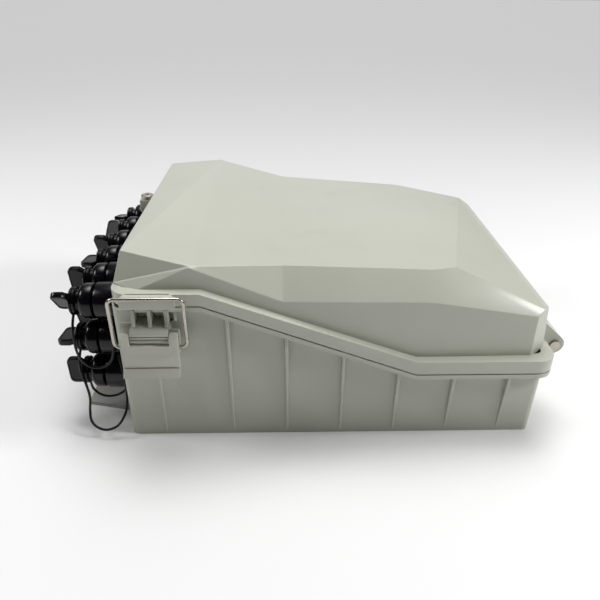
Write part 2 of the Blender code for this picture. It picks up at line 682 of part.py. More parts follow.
def build_tethers():
    """Cords that tie the near column's caps to their adapters."""
    mat = material("tether_black", BLACK, 0.35)
    for tag, route in TETHER_ROUTES.items():
        curve = bpy.data.curves.new("tether_" + tag, "CURVE")
        curve.dimensions = "3D"
        curve.bevel_depth = TETHER_R
        curve.bevel_resolution = 2
        curve.use_fill_caps = True
        pts = smooth_route(route, TETHER_STEP)
        line = curve.splines.new("POLY")
        line.points.add(len(pts) - 1)
        for place, p in zip(line.points, pts):
            place.co = (p.x, p.y, p.z, 1.0)
        curve.materials.append(mat)
        ob = bpy.data.objects.new("tether_" + tag, curve)
        bpy.context.scene.collection.objects.link(ob)


# ------------------------------------------------------------------ the inside
def build_bracket():
    x0 = X_L - 0.0450
    x1 = X_L + 0.0640
    ob = prism("mounting_bracket", [(x0, -0.0830), (X_L - 0.002, -0.0935), (x1, -0.0935),
                                    (x1, 0.0935), (X_L - 0.002, 0.0935), (x0, 0.0830)],
               "z", 0.0, 0.0033, material("bracket_grey", ZINC, 0.5, 0.2))
    tools = []
    for y in (-BRACKET_HOLE_Y, BRACKET_HOLE_Y):
        tools.append(rod("tool", "z", (X_L - BRACKET_HOLE_X, y, 0), BRACKET_HOLE_R, -0.002, 0.006, 24))
    for y in (-0.0700, 0.0700):
        tools.append(rod("tool", "z", (X_L + 0.035, y, 0), 0.0022, -0.002, 0.006, 12))
    cut(ob, tools)
    mat = material("bracket_screw_steel", STEEL, 0.35, 1.0)
    for name, s in SIDES:
        profile = [(0.0000, 0), (0.0000, 0.0018), (0.0076, 0.0018), (0.0076, 0.0038), (0.0100, 0.0030), (0.0100, 0)]
        turned("bracket_screw_" + name, profile, "z", (X_L + 0.035, s * 0.0700, 0), 14, mat)


def build_inside():
    z0 = BOSS_TOP + GAP
    ob = box("chassis_plate", (-0.1080, -0.1060, z0), (0.1280, 0.1060, z0 + PLATE_T),
             material("chassis_zinc", ZINC, 0.4, 0.9))
    posts = []
    hx = 0.0650
    for s in (-1, 1):
        y = s * 0.0760
        posts.append(box("tool", (hx, y - 0.0015, z0 + 0.001), (hx + 0.0140, y + 0.0015, TRAY_Z + 0.0200)))
    rest = [box("tool", (-0.0760, -0.0300, z0 + 0.001), (-0.0720, 0.0300, TRAY_Z - 0.0016 - 0.0003))]
    join(ob, posts + rest)
    tools = []
    for x in BOSS_X:
        for y in BOSS_Y:
            tools.append(rod("tool", "z", (x, y, 0), 0.0021, z0 - 0.002, z0 + 0.006, 12))
    for k in (0, 1):
        tools.append(rod("tool", "y", (hx + 0.0070, 0, TRAY_Z + 0.0040 + 0.0120 * k), 0.0020, -0.09, 0.09, 14))
    cut(ob, tools)
    screw = material("chassis_screw_steel", STEEL, 0.35, 1.0)
    count = 0
    for x in BOSS_X:
        for y in BOSS_Y:
            count += 1
            top = z0 + PLATE_T + 0.0003
            profile = [(top - 0.0110, 0), (top - 0.0110, 0.0013), (top, 0.0013), (top, 0.0034),
                       (top + 0.0018, 0.0030), (top + 0.0018, 0)]
            turned("chassis_screw_" + str(count), profile, "z", (x, y, 0), 12, screw)
    tray_mat = material("tray_ivory", (0.60, 0.62, 0.62), 0.45)
    for k, name in enumerate(("lower", "upper")):
        zt = TRAY_Z + 0.0120 * k
        w = 0.0740
        x1 = hx + 0.0070
        x0 = x1 - TRAY_L
        ob = box("splice_tray_" + name, (x0, -w, zt - 0.0014), (x1 - 0.0060, w, zt + 0.0086), tray_mat)
        pocket = box("tool", (x0 + 0.0018, -w + 0.0018, zt + 0.0002), (x1 - 0.0078, w - 0.0018, zt + 0.012))
        cut(ob, [pocket])
        ear = [rod("tool", "y", (x1, s * (w - 0.0030), zt + 0.0040), 0.0036, -0.0030, 0.0030, 16) for s in (-1, 1)]
        arm = [box("tool", (x1 - 0.0090, s * (w - 0.0030) - 0.0030, zt + 0.0012),
                   (x1, s * (w - 0.0030) + 0.0030, zt + 0.0068)) for s in (-1, 1)]
        stub = [rod("tool", "y", (x1, s * (w + 0.0015), zt + 0.0040), 0.0016, -0.0030, 0.0030, 12) for s in (-1, 1)]
        combs = [box("tool", (x0 + 0.050, -0.0160 + 0.0080 * j, zt - 0.0004),
                     (x0 + 0.090, -0.0148 + 0.0080 * j, zt + 0.0050)) for j in range(5)]
        join(ob, arm + ear + stub + combs)
        set_origin(ob, (x1, 0, zt + 0.0040))
    zt = TRAY_Z + 0.0120 + 0.0086 + GAP
    x1 = hx + 0.0010
    box("tray_cover", (x1 - TRAY_L + 0.0065, -0.0740, zt), (x1, 0.0740, zt + 0.0016),
        material("cover_clear", CLEAR, 0.1, 0.0, 0.35))
    zb = z0 + PLATE_T + GAP
    box("splitter", (-0.0300, -0.0450, zb), (0.0500, 0.0050, zb + 0.0100), material("splitter_grey", (0.3, 0.3, 0.31), 0.4))


def main():
    clear_scene()
    build_base()
    build_lid()
    build_seal()
    build_hinge_pins()
    build_latches()
    build_lock_screw()
    build_ports()
    build_tethers()
    build_bracket()
    build_inside()


main()
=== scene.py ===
"""Looks for a sixteen-port fibre termination box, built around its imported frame.

Metres, +Z up.  -X is the port end, +X the hinge end, -Y the side with the near latch.
"""
import json
import math

import bmesh
import bpy
from bpy.props import FloatProperty, IntProperty, PointerProperty
from mathutils import Matrix, Vector

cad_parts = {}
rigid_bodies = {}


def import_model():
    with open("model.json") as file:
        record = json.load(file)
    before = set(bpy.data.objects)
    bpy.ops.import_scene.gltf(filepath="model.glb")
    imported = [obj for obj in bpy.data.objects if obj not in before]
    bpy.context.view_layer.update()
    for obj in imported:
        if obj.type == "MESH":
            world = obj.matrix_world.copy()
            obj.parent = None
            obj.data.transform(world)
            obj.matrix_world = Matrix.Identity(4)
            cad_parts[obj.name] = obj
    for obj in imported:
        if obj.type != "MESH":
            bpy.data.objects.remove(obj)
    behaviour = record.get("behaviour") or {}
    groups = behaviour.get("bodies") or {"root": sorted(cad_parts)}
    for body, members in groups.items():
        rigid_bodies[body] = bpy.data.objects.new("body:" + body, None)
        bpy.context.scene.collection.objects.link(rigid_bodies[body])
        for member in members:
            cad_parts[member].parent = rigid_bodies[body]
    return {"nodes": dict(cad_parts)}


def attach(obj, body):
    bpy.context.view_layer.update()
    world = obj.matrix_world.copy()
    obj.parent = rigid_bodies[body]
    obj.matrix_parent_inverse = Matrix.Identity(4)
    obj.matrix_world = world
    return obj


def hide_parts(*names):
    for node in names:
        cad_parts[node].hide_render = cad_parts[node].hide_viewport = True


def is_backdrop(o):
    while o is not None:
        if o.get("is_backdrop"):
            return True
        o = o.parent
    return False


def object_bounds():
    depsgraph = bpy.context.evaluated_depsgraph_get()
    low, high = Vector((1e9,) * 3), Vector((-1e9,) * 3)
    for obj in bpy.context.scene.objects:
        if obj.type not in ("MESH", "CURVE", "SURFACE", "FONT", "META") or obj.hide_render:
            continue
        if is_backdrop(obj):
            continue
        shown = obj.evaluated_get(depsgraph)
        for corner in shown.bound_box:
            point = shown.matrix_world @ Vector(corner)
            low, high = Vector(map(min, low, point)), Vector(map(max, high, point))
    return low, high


bl_info = {
    "name": "Fibre termination box",
    "version": (1, 0, 0),
    "blender": (4, 5, 0),
    "location": "View3D > Sidebar > Fibre box",
    "description": "Builds the visible pieces of a fibre termination box around its frame",
    "category": "Object",
}

for leftover in list(bpy.data.objects):
    bpy.data.objects.remove(leftover, do_unlink=True)
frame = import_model()


def length(name, description, default):
    return FloatProperty(name=name, description=description, default=default, unit="LENGTH", precision=4)


# ------------------------------------------------------------------ settings
class BoxSettings(bpy.types.PropertyGroup):
    long: length("Length", "Housing from port wall to hinge wall", 0.3220)
    half_w: length("Half width", "Housing half width at the rim", 0.1250)
    draft: length("Draft", "How much narrower each side is at the back", 0.0030)
    rim_high: length("Rim, port end", "Parting line above the back at the port end", 0.1200)
    rim_low: length("Rim, hinge end", "Parting line above the back at the hinge end", 0.0605)
    slope_a: length("Slope start", "Where the parting line starts to fall", -0.0970)
    slope_b: length("Slope end", "Where the parting line is level again", 0.0610)
    wall: length("Wall", "Moulded wall thickness", 0.0032)
    flange_t: length("Housing flange", "Thickness of the housing flange", 0.0040)
    lid_high: length("Lid flange, port end", "Thickness of the lid flange at the port end", 0.0100)
    lid_low: length("Lid flange, hinge end", "Thickness of the lid flange at the hinge end", 0.0115)
    flange_out: length("Flange overhang", "Flange past the rim on the long sides", 0.0050)
    flange_end: length("End overhang", "Flange past the hinge wall", 0.0080)
    corner: length("Flange corner", "Plan radius of the flange corners", 0.0160)
    base_corner: length("Housing corner", "Plan radius of the housing corners", 0.0060)
    gap: length("Gap", "Air between neighbouring pieces", 0.0003)
    rib_pitch: length("Rib pitch", "Spacing of the side gussets", 0.0425)
    rib_t: length("Rib thickness", "Thickness of a gusset at its root", 0.0032)
    port_wall: length("Port wall", "Thickness of the port wall", 0.0080)


class PortSettings(bpy.types.PropertyGroup):
    pitch: length("Column pitch", "Spacing of the port columns", 0.0370)
    row_0: length("Bottom row", "Height of the bottom row", 0.0430)
    row_1: length("Middle row", "Height of the middle row", 0.0745)
    row_2: length("Top row", "Height of the top row", 0.1060)
    collar_r: length("Collar radius", "Radius of the adapter collar", 0.0145)
    collar_l: length("Collar length", "Length of the adapter collar", 0.0195)
    groove: length("Groove", "Groove between collar and cap", 0.0012)
    barrel_r: length("Barrel radius", "Radius of the barrel through the wall", 0.0090)
    cap_r: length("Cap radius", "Radius of the cap skirt", 0.0138)
    cap_l: length("Cap length", "Length of the cap skirt", 0.0100)
    hole_r: length("Hole radius", "Hole in the port wall", 0.0093)
    neck_r: length("Neck radius", "Radius of the neck that carries the tether ring", 0.0088)
    neck_l: length("Neck length", "Length of that neck", 0.0080)
    tab_l: length("Tab length", "Length of the flat grip tab", 0.0145)
    tab_w: length("Tab width", "Width of the flat grip tab", 0.0240)
    tab_t: length("Tab thickness", "Thickness of the flat grip tab", 0.0052)
    ring: length("Ring", "Tether ring past the neck it sits on", 0.0022)
    tether: length("Tether", "Diameter of a tether cord", 0.0020)


class LatchSettings(bpy.types.PropertyGroup):
    x: length("Position", "Middle of the latch along the box", -0.1330)
    width: length("Width", "Width of the lever", 0.0400)
    top: length("Lever top", "Top of the lever cheeks", 0.1032)
    low: length("Lever low", "Where the lever's lip starts", 0.0765)
    lip: length("Lip", "Lower end of the lip", 0.0706)
    pin_z: length("Pin height", "Height of the lever pin", 0.1000)
    pin_out: length("Pin reach", "Lever pin out from the side wall", 0.0085)
    pin_r: length("Pin radius", "Radius of the lever pin", 0.0015)
    drop: length("Plate drop", "Lever plate's top below the pin axis", 0.0056)
    bail_z: length("Bail height", "Height of the bail pivot", 0.0905)
    bail_r: length("Wire radius", "Radius of the bail wire", 0.0014)
    bail_half: length("Bail half width", "Half width of the bail", 0.0258)
    keeper_w: length("Keeper width", "Width of the keeper on the lid", 0.0380)
    keeper_out: length("Keeper reach", "Keeper face out from the side wall", 0.0095)


class HingeSettings(bpy.types.PropertyGroup):
    out: length("Reach", "Hinge axis out from the flange end", 0.0095)
    z: length("Height", "Height of the hinge axis", 0.0660)
    y: length("Spacing", "Middle of each hinge from the centre line", 0.0800)
    r: length("Eye radius", "Outer radius of a hinge eye", 0.0080)
    pin_r: length("Pin radius", "Radius of the hinge pin", 0.0025)
    inner_w: length("Housing eye", "Width of the eye on the housing", 0.0180)
    outer_w: length("Lid eye", "Width of each eye on the lid", 0.0075)
    gap: length("Gap", "Air between the eyes", 0.00045)


class StageSettings(bpy.types.PropertyGroup):
    size: length("Floor", "Edge of the floor", 200.0)
    cam_x: length("Camera X", "Camera position", -0.0373)
    cam_y: length("Camera Y", "Camera position", -0.4839)
    cam_z: length("Camera Z", "Camera position", 0.3128)
    lens: FloatProperty(name="Lens", description="Focal length in millimetres", default=34.5)
    pitch: FloatProperty(name="Pitch", description="Degrees the camera looks down", default=27.9)
    yaw: FloatProperty(name="Yaw", description="Degrees the camera looks right", default=1.64)
    roll: FloatProperty(name="Roll", description="Degrees the camera is rolled", default=0.46)


SETTINGS = {
    "fb_box": BoxSettings,
    "fb_port": PortSettings,
    "fb_latch": LatchSettings,
    "fb_hinge": HingeSettings,
    "fb_stage": StageSettings,
}
WORLD_EVEN = 0.02
WORLD_LOBES = (
    ((0.0, 0.30, 0.95), 30.0, 11.6),
    ((0.0, 0.94, 0.34), 8.0, 0.9),
)
LAMPS = (
    ("glint", (1.05, -0.30, 0.80), (0.12, -0.11, 0.12), 0.28, 9.5),
    ("left", (-1.10, -0.10, 0.90), (-0.14, -0.10, 0.14), 0.40, 5.5),
)
SIDES = (("near", -1), ("far", 1))
QUARTER = tuple(math.pi / 2 * i / 6 for i in range(7))
PORT_COUNTS = (5, 5, 6)
PORT_TURNS = ((4, 71, 148, 33, 112), (86, 18, 64, 127, 9), (40, 10, 84, 28, 122, 76))


def cfg(name):
    return getattr(bpy.context.scene, name)


# ---------------------------------------------------------------- mesh tools
def keep(name, bm):
    bmesh.ops.remove_doubles(bm, verts=bm.verts, dist=0.00001)
    bmesh.ops.recalc_face_normals(bm, faces=bm.faces)
    mesh = bpy.data.meshes.new(name)
    bm.to_mesh(mesh)
    bm.free()
    ob = bpy.data.objects.new(name, mesh)
    bpy.context.scene.collection.objects.link(ob)
    return ob


def loft(name, rings, triangles=False):
    """Closed body through rings of equal point count, capped at both ends."""
    bm = bmesh.new()
    loops = [[bm.verts.new(p) for p in ring] for ring in rings]
    count = len(rings[0])
    for a, b in zip(loops[:-1], loops[1:]):
        for i in range(count):
            j = (i + 1) % count
            bm.faces.new((a[i], a[j], b[j], b[i]))
    bm.faces.new(list(reversed(loops[0])))
    bm.faces.new(loops[-1])
    if triangles:
        bmesh.ops.triangulate(bm, faces=bm.faces)
    return keep(name, bm)


def box(name, a, b):
    lo = [min(p, q) for p, q in zip(a, b)]
    hi = [max(p, q) for p, q in zip(a, b)]
    low = [(lo[0], lo[1], lo[2]), (hi[0], lo[1], lo[2]), (hi[0], hi[1], lo[2]), (lo[0], hi[1], lo[2])]
    return loft(name, [low, [(x, y, hi[2]) for x, y, z in low]])


def prism(name, outline, axis, lo, hi):
    """Outline of (a, b) pairs drawn out along x, y or z."""
    order = {
        "x": lambda a, b, c: (c, a, b),
        "y": lambda a, b, c: (a, c, b),
        "z": lambda a, b, c: (a, b, c),
    }[axis]
    return loft(name, [[order(a, b, c) for a, b in outline] for c in (lo, hi)])


def turned(name, profile, axis, centre, sides=40):
    """Profile of (along, radius) pairs turned about an axis; radius 0 closes."""
    bm = bmesh.new()
    c = Vector(centre)
    frame = {
        "x": (Vector((1, 0, 0)), Vector((0, 1, 0)), Vector((0, 0, 1))),
        "y": (Vector((0, 1, 0)), Vector((0, 0, 1)), Vector((1, 0, 0))),
        "z": (Vector((0, 0, 1)), Vector((1, 0, 0)), Vector((0, 1, 0))),
    }[axis]
    loops = []
    for along, radius in profile:
        if radius <= 0:
            loops.append([bm.verts.new(c + frame[0] * along)])
            continue
        ring = []
        for i in range(sides):
            t = math.tau * (i + 0.5) / sides
            spoke = frame[1] * math.cos(t) + frame[2] * math.sin(t)
            ring.append(bm.verts.new(c + frame[0] * along + spoke * radius))
        loops.append(ring)
    for a, b in zip(loops[:-1], loops[1:]):
        for i in range(sides):
            j = (i + 1) % sides
            if len(a) == 1:
                bm.faces.new((a[0], b[j], b[i]))
            elif len(b) == 1:
                bm.faces.new((a[i], a[j], b[0]))
            else:
                bm.faces.new((a[i], a[j], b[j], b[i]))
    return keep(name, bm)


def rod(name, axis, centre, radius, lo, hi, sides=32):
    return turned(name, [(lo, 0), (lo, radius), (hi, radius), (hi, 0)], axis, centre, sides)


def bake(ob):
    """Turns an object's modifiers into plain mesh."""
    bpy.context.view_layer.update()
    graph = bpy.context.evaluated_depsgraph_get()
    mesh = bpy.data.meshes.new_from_object(ob.evaluated_get(graph))
    old = ob.data
    ob.modifiers.clear()
    ob.data = mesh
    mesh.name = ob.name
    bpy.data.meshes.remove(old)
    return ob


def boolean(ob, tools, operation="DIFFERENCE"):
    for tool in tools:
        mod = ob.modifiers.new(operation, "BOOLEAN")
        mod.operation = operation
        mod.solver = "EXACT"
        mod.object = tool
    bake(ob)
    for tool in tools:
        bpy.data.objects.remove(tool, do_unlink=True)
    return ob


def soften(ob, width, segments=3, angle=25):
    """Rounds the edges that turn more than angle degrees."""
    mod = ob.modifiers.new("Bevel", "BEVEL")
    mod.width = width
    mod.segments = segments
    mod.limit_method = "ANGLE"
    mod.angle_limit = math.radians(angle)
    mod.use_clamp_overlap = True
    mod.harden_normals = False
    return bake(ob)


def smooth(ob, angle=35):
    for p in ob.data.polygons:
        p.use_smooth = True
    ob.data.set_sharp_from_angle(angle=math.radians(angle))
    return ob


def merge(name, parts):
    """One object from several that already have their places."""
    bm = bmesh.new()
    for part in parts:
        part.data.transform(part.matrix_world)
        bm.from_mesh(part.data)
    mesh = bpy.data.meshes.new(name)
    bm.to_mesh(mesh)
    bm.free()
    for part in parts:
        bpy.data.objects.remove(part, do_unlink=True)
    ob = bpy.data.objects.new(name, mesh)
    bpy.context.scene.collection.objects.link(ob)
    return ob


def dress(ob, mat, body, nodes=(), angle=35):
    """Gives a piece its finish, the body it rides on and the nodes it stands for."""
    smooth(ob, angle)
    ob.data.materials.clear()
    ob.data.materials.append(mat)
    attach(ob, body)
    if nodes:
        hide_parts(*nodes)
    return ob


# ------------------------------------------------------------- shader algebra
class Wire:
    """A shader value: an output socket or a plain number, with arithmetic."""

    def __init__(self, tree, value):
        self.tree = tree
        self.value = value.value if isinstance(value, Wire) else value

    def feed(self, socket):
        if isinstance(self.value, bpy.types.NodeSocket):
            self.tree.links.new(self.value, socket)
        else:
            socket.default_value = self.value

    def _maths(self, operation, *others):
        node = self.tree.nodes.new("ShaderNodeMath")
        node.operation = operation
        for i, item in enumerate((self,) + others):
            Wire(self.tree, item).feed(node.inputs[i])
        return Wire(self.tree, node.outputs[0])

    def __add__(self, other):
        return self._maths("ADD", other)

    def __radd__(self, other):
        return self._maths("ADD", other)

    def __sub__(self, other):
        return self._maths("SUBTRACT", other)

    def __rsub__(self, other):
        return Wire(self.tree, other)._maths("SUBTRACT", self)

    def __mul__(self, other):
        return self._maths("MULTIPLY", other)

    def __rmul__(self, other):
        return self._maths("MULTIPLY", other)

    def __truediv__(self, other):
        return self._maths("DIVIDE", other)

    def __rtruediv__(self, other):
        return Wire(self.tree, other)._maths("DIVIDE", self)

    def __pow__(self, other):
        return self._maths("POWER", other)

    def __neg__(self):
        return self._maths("MULTIPLY", -1.0)

    def clamp(self, lo=0.0, hi=1.0):
        return self._maths("MAXIMUM", lo)._maths("MINIMUM", hi)

    def over(self, edge, width):
        """0 below edge, 1 above it, with a soft step."""
        return ((self - edge) / width + 0.5).clamp()


class Shader:
    """A Principled material and the textures that drive it."""

    def __init__(self, name):
        self.mat = bpy.data.materials.new(name)
        self.mat.use_nodes = True
        self.tree = self.mat.node_tree
        self.bsdf = self.tree.nodes["Principled BSDF"]
        self.place = self.node("ShaderNodeTexCoord").outputs["Object"]

    def node(self, kind, inputs=None, **settings):
        node = self.tree.nodes.new(kind)
        for key, value in settings.items():
            setattr(node, key, value)
        for key, value in (inputs or {}).items():
            Wire(self.tree, value).feed(node.inputs[key])
        return node

    def noise(self, scale, detail=3.0, rough=0.5, stretch=None):
        place = self.place
        if stretch:
            place = self.node("ShaderNodeMapping", {"Vector": self.place, "Scale": stretch}).outputs[0]
        made = self.node("ShaderNodeTexNoise",
                         {"Vector": place, "Scale": scale, "Detail": detail, "Roughness": rough})
        return Wire(self.tree, made.outputs[0])

    def cells(self, scale):
        made = self.node("ShaderNodeTexVoronoi", {"Vector": self.place, "Scale": scale})
        return Wire(self.tree, made.outputs["Distance"])

    def wear(self):
        """How convex the surface is here: 0.5 is flat."""
        return Wire(self.tree, self.node("ShaderNodeNewGeometry").outputs["Pointiness"])

    def axis(self, which):
        return Wire(self.tree, self.node("ShaderNodeSeparateXYZ", {"Vector": self.place}).outputs[which])

    def blend(self, factor, a, b):
        mix = self.node("ShaderNodeMix", data_type="RGBA")
        Wire(self.tree, factor).feed(mix.inputs[0])
        Wire(self.tree, a).feed(mix.inputs[6])
        Wire(self.tree, b).feed(mix.inputs[7])
        return mix.outputs[2]

    def bump(self, height, strength, distance):
        made = self.node("ShaderNodeBump", {"Height": height, "Strength": strength, "Distance": distance})
        self.tree.links.new(made.outputs[0], self.bsdf.inputs["Normal"])

    def set(self, name, value):
        Wire(self.tree, value).feed(self.bsdf.inputs[name])


def rgb(r, g, b):
    return (r, g, b, 1.0)


def moulded(name, colour, rough, grain=1.0):
    """Fine-grained moulded plastic with faint flow marks, handling dust and worn edges."""
    s = Shader(name)
    cloud = s.noise(9.0, 4.0, 0.55)
    speck = s.noise(2600.0, 2.0, 0.6)
    edge = s.wear().over(0.53, 0.06)
    dark = tuple(c * 0.955 for c in colour)
    light = tuple(min(c * 1.05, 1.0) for c in colour)
    tone = s.blend((cloud - 0.3) * 1.6, rgb(*dark), rgb(*light))
    pale = tuple(min(c * 1.16, 1.0) for c in colour)
    s.set("Base Color", s.blend(edge * 0.45, tone, rgb(*pale)))
    s.set("Roughness", rough + (cloud - 0.5) * 0.10 + (speck - 0.5) * 0.10)
    s.set("IOR", 1.48)
    s.bump(speck * 0.6 + s.noise(900.0, 2.0) * 0.4, 0.16 * grain, 0.0002)
    return s.mat


def glossy_black(name, colour, rough):
    """Moulded black plastic with a satin sheen, patches of dust and faint scuffs."""
    s = Shader(name)
    s.set("Specular IOR Level", 0.30)
    cloud = s.noise(60.0, 3.0)
    scuff = s.noise(420.0, 2.0, 0.5, (0.12, 1.0, 1.0)).over(0.66, 0.06)
    dust = s.noise(140.0, 5.0, 0.7).over(0.62, 0.25)
    grey = tuple(c + 0.012 for c in colour)
    s.set("Base Color", s.blend(dust * 0.35 + scuff * 0.25, rgb(*colour), rgb(*grey)))
    s.set("Roughness", rough + cloud * 0.10 + scuff * 0.14)
    s.bump(s.noise(1500.0, 2.0) * 0.5 + scuff * 0.3, 0.10, 0.0001)
    return s.mat


def steel(name, rough=0.26, stretch=(1.0, 1.0, 1.0), tint=(0.47, 0.44, 0.38)):
    """Drawn stainless with fine lines along the wire and a little grime."""
    s = Shader(name)
    line = s.noise(1400.0, 3.0, 0.6, stretch)
    grime = s.noise(120.0, 4.0, 0.6).over(0.60, 0.3)
    dull = tuple(c * 0.72 for c in tint)
    s.set("Base Color", s.blend(grime * 0.5, rgb(*tint), rgb(*dull)))
    s.set("Metallic", 1.0 - grime * 0.12)
    s.set("Roughness", rough + (line - 0.5) * 0.14 + grime * 0.12)
    s.bump(line, 0.08, 0.0001)
    return s.mat


def zinc(name, tint):
    """Zinc-plated sheet with a spangle."""
    s = Shader(name)
    flake = s.cells(160.0)
    cloud = s.noise(30.0, 3.0)
    low = tuple(c * 0.82 for c in tint)
    s.set("Base Color", s.blend(flake * 1.1, rgb(*tint), rgb(*low)))
    s.set("Metallic", 0.9)
    s.set("Roughness", 0.34 + cloud * 0.12)
    s.bump(flake, 0.05, 0.0001)
    return s.mat


def painted(name, colour):
    """Powder coat with orange peel."""
    s = Shader(name)
    peel = s.noise(700.0, 2.0)
    edge = s.wear().over(0.54, 0.05)
    pale = tuple(min(c * 1.25, 1.0) for c in colour)
    s.set("Base Color", s.blend(edge * 0.4 + s.noise(20.0, 3.0) * 0.15, rgb(*colour), rgb(*pale)))
    s.set("Roughness", 0.42 + (peel - 0.5) * 0.10)
    s.bump(peel, 0.16, 0.0002)
    return s.mat


def rubber(name):
    """Closed-cell foam rubber."""
    s = Shader(name)
    pore = s.cells(1300.0)
    s.set("Base Color", s.blend(pore * 0.8, rgb(0.02, 0.02, 0.02), rgb(0.045, 0.045, 0.045)))
    s.set("Roughness", 0.74 + pore * 0.15)
    s.bump(pore, 0.3, 0.0002)
    return s.mat


def clear_sheet(name):
    """Clear cover with a slight haze."""
    s = Shader(name)
    haze = s.noise(40.0, 4.0)
    s.set("Base Color", rgb(0.82, 0.86, 0.87))
    s.set("Alpha", 0.22 + haze * 0.10)
    s.set("Roughness", 0.06 + haze * 0.08)
    return s.mat


FINISHES = {}


def finish(key):
    """Materials are made once, when a piece first asks for one."""
    if key not in FINISHES:
        grey = (0.450, 0.460, 0.392)
        FINISHES[key] = {
            "grey": lambda: moulded("moulded_grey", grey, 0.34),
            "lid": lambda: moulded("moulded_grey_lid", (0.468, 0.478, 0.408), 0.30),
            "lever": lambda: moulded("moulded_grey_lever", (0.475, 0.472, 0.415), 0.32),
            "port": lambda: glossy_black("adapter_black", (0.0030, 0.0030, 0.0050), 0.14),
            "cap": lambda: glossy_black("cap_black", (0.0030, 0.0031, 0.0040), 0.15),
            "tether": lambda: glossy_black("tether_black", (0.005, 0.005, 0.005), 0.30),
            "wire": lambda: steel("bail_steel", 0.24, (1.0, 1.0, 0.1)),
            "steel": lambda: steel("fastener_steel", 0.28),
            "bracket": lambda: painted("bracket_grey", (0.30, 0.295, 0.27)),
            "zinc": lambda: zinc("chassis_zinc", (0.58, 0.58, 0.57)),
            "tray": lambda: moulded("tray_ivory", (0.62, 0.63, 0.61), 0.40, 0.6),
            "cover": lambda: clear_sheet("cover_clear"),
            "splitter": lambda: moulded("splitter_dark", (0.09, 0.09, 0.10), 0.45),
            "seal": lambda: rubber("seal_rubber"),
        }[key]()
    return FINISHES[key]


# ------------------------------------------------------------- box geometry
def ramp(x, high, low):
    c = cfg("fb_box")
    t = (x - c.slope_a) / (c.slope_b - c.slope_a)
    return high + (low - high) * min(max(t, 0.0), 1.0)


def rim(x):
    return ramp(x, cfg("fb_box").rim_high, cfg("fb_box").rim_low)


def lid_foot(x):
    c = cfg("fb_box")
    return ramp(x, c.rim_high + c.lid_high, c.rim_low + c.lid_low)


def x_left():
    return -cfg("fb_box").long / 2


def x_right():
    return cfg("fb_box").long / 2


def lock_place():
    """Where the locking screw's axis crosses the plan."""
    return x_left() - 0.0130, cfg("fb_port").pitch * 2


def flange_right():
    return x_right() + cfg("fb_box").flange_end


def half_at(x, half, x0, x1, radius):
    d = min(x - x0, x1 - x)
    if d >= radius:
        return half
    d = radius - max(d, 0.0)
    return half - radius + math.sqrt(max(radius * radius - d * d, 0.0))


def plan_stations(x0, x1, radius, steps=8):
    """X of each ring: a fine corner, the soft bends of the parting line, a fine corner."""
    c = cfg("fb_box")
    corner = [radius * (1 - math.cos(math.pi / 2 * i / steps)) for i in range(steps + 1)]
    return [x0 + d for d in corner] + [c.slope_a, c.slope_b] + [x1 - d for d in reversed(corner)]


def slab(name, x0, x1, half, radius, low, high, half_low=None):
    """Plate with a rounded plan whose faces follow low(x) and high(x)."""
    half_low = half if half_low is None else half_low
    rings = []
    for x in plan_stations(x0, x1, radius):
        a = half_at(x, half_low, x0, x1, radius)
        b = half_at(x, half, x0, x1, radius)
        rings.append([(x, -a, low(x)), (x, a, low(x)), (x, b, high(x)), (x, -b, high(x))])
    return loft(name, rings)


def lid_rings(inset=0.0, drop=0.0):
    """Rings of foot, shoulder and crown points on both sides of the lid skin."""
    h = cfg("fb_box").half_w - 0.0030
    xl = x_left()
    xr = x_right()
    a = cfg("fb_box").slope_a
    b = cfg("fb_box").slope_b
    rows = [
        (xl, h - 0.0100, xl + 0.0008, h - 0.0092, 0.1312, xl + 0.0069, h - 0.0160, 0.1533,
         xl + 0.0070, h - 0.0090, 0.1312, 0.1580),
        (xl + 0.0160, h, -0.1040, h - 0.0010, 0.1462, -0.1040, h - 0.0030, 0.1465,
         -0.1040, h - 0.0030, 0.1462, 0.1605),
        (a, h, -0.1000, h - 0.0008, 0.1443, -0.0990, h - 0.0040, 0.1461,
         -0.0990, h - 0.0040, 0.1443, 0.1592),
        (-0.0390, h, -0.0390, h - 0.0005, 0.1190, -0.0390, h - 0.0205, 0.1392,
         -0.0390, h - 0.0155, 0.1190, 0.1460),
        (b, h, b, h - 0.0008, 0.1178, b + 0.0013, h - 0.0200, 0.1359, b, h - 0.0165, 0.1178, 0.1390),
        (0.0720, h, 0.0715, h - 0.0010, 0.1172, 0.0704, h - 0.0200, 0.1355,
         0.0740, h - 0.0175, 0.1172, 0.1382),
        (0.0900, h, 0.0900, h - 0.0014, 0.1142, 0.0896, h - 0.0240, 0.1357,
         0.0840, h - 0.0185, 0.1142, 0.1372),
        (0.1490, h - 0.0010, 0.1500, h - 0.0030, 0.1042, 0.1570, h - 0.0080, 0.1075,
         0.1500, h - 0.0110, 0.1080, 0.1215),
        (xr + 0.0030, h - 0.0140, xr + 0.0005, h - 0.0140, 0.1065, xr - 0.0015, h - 0.0140, 0.1080,
         xr - 0.0020, h - 0.0180, 0.1085, 0.1160),
    ]
    rings = []
    for i, row in enumerate(rows):
        fx, fy, sx, sy, sz, cx, cy, cz, gx, gy, gsz, gz = row
        shift = inset if i == 0 else (-inset if i == len(rows) - 1 else 0.0)
        fx, sx, cx, gx = fx + shift, sx + shift, cx + shift, gx + shift
        foot = lid_foot(fx) - 0.0020 if inset == 0.0 else rim(fx) - 0.0060
        rings.append([
            (fx, -fy + inset, foot), (sx, -sy + inset, sz - drop), (cx, -cy + inset, cz - drop),
            (gx, gy - inset, gz - drop), (sx, sy - inset, gsz - drop), (fx, fy - inset, foot)])
    return rings


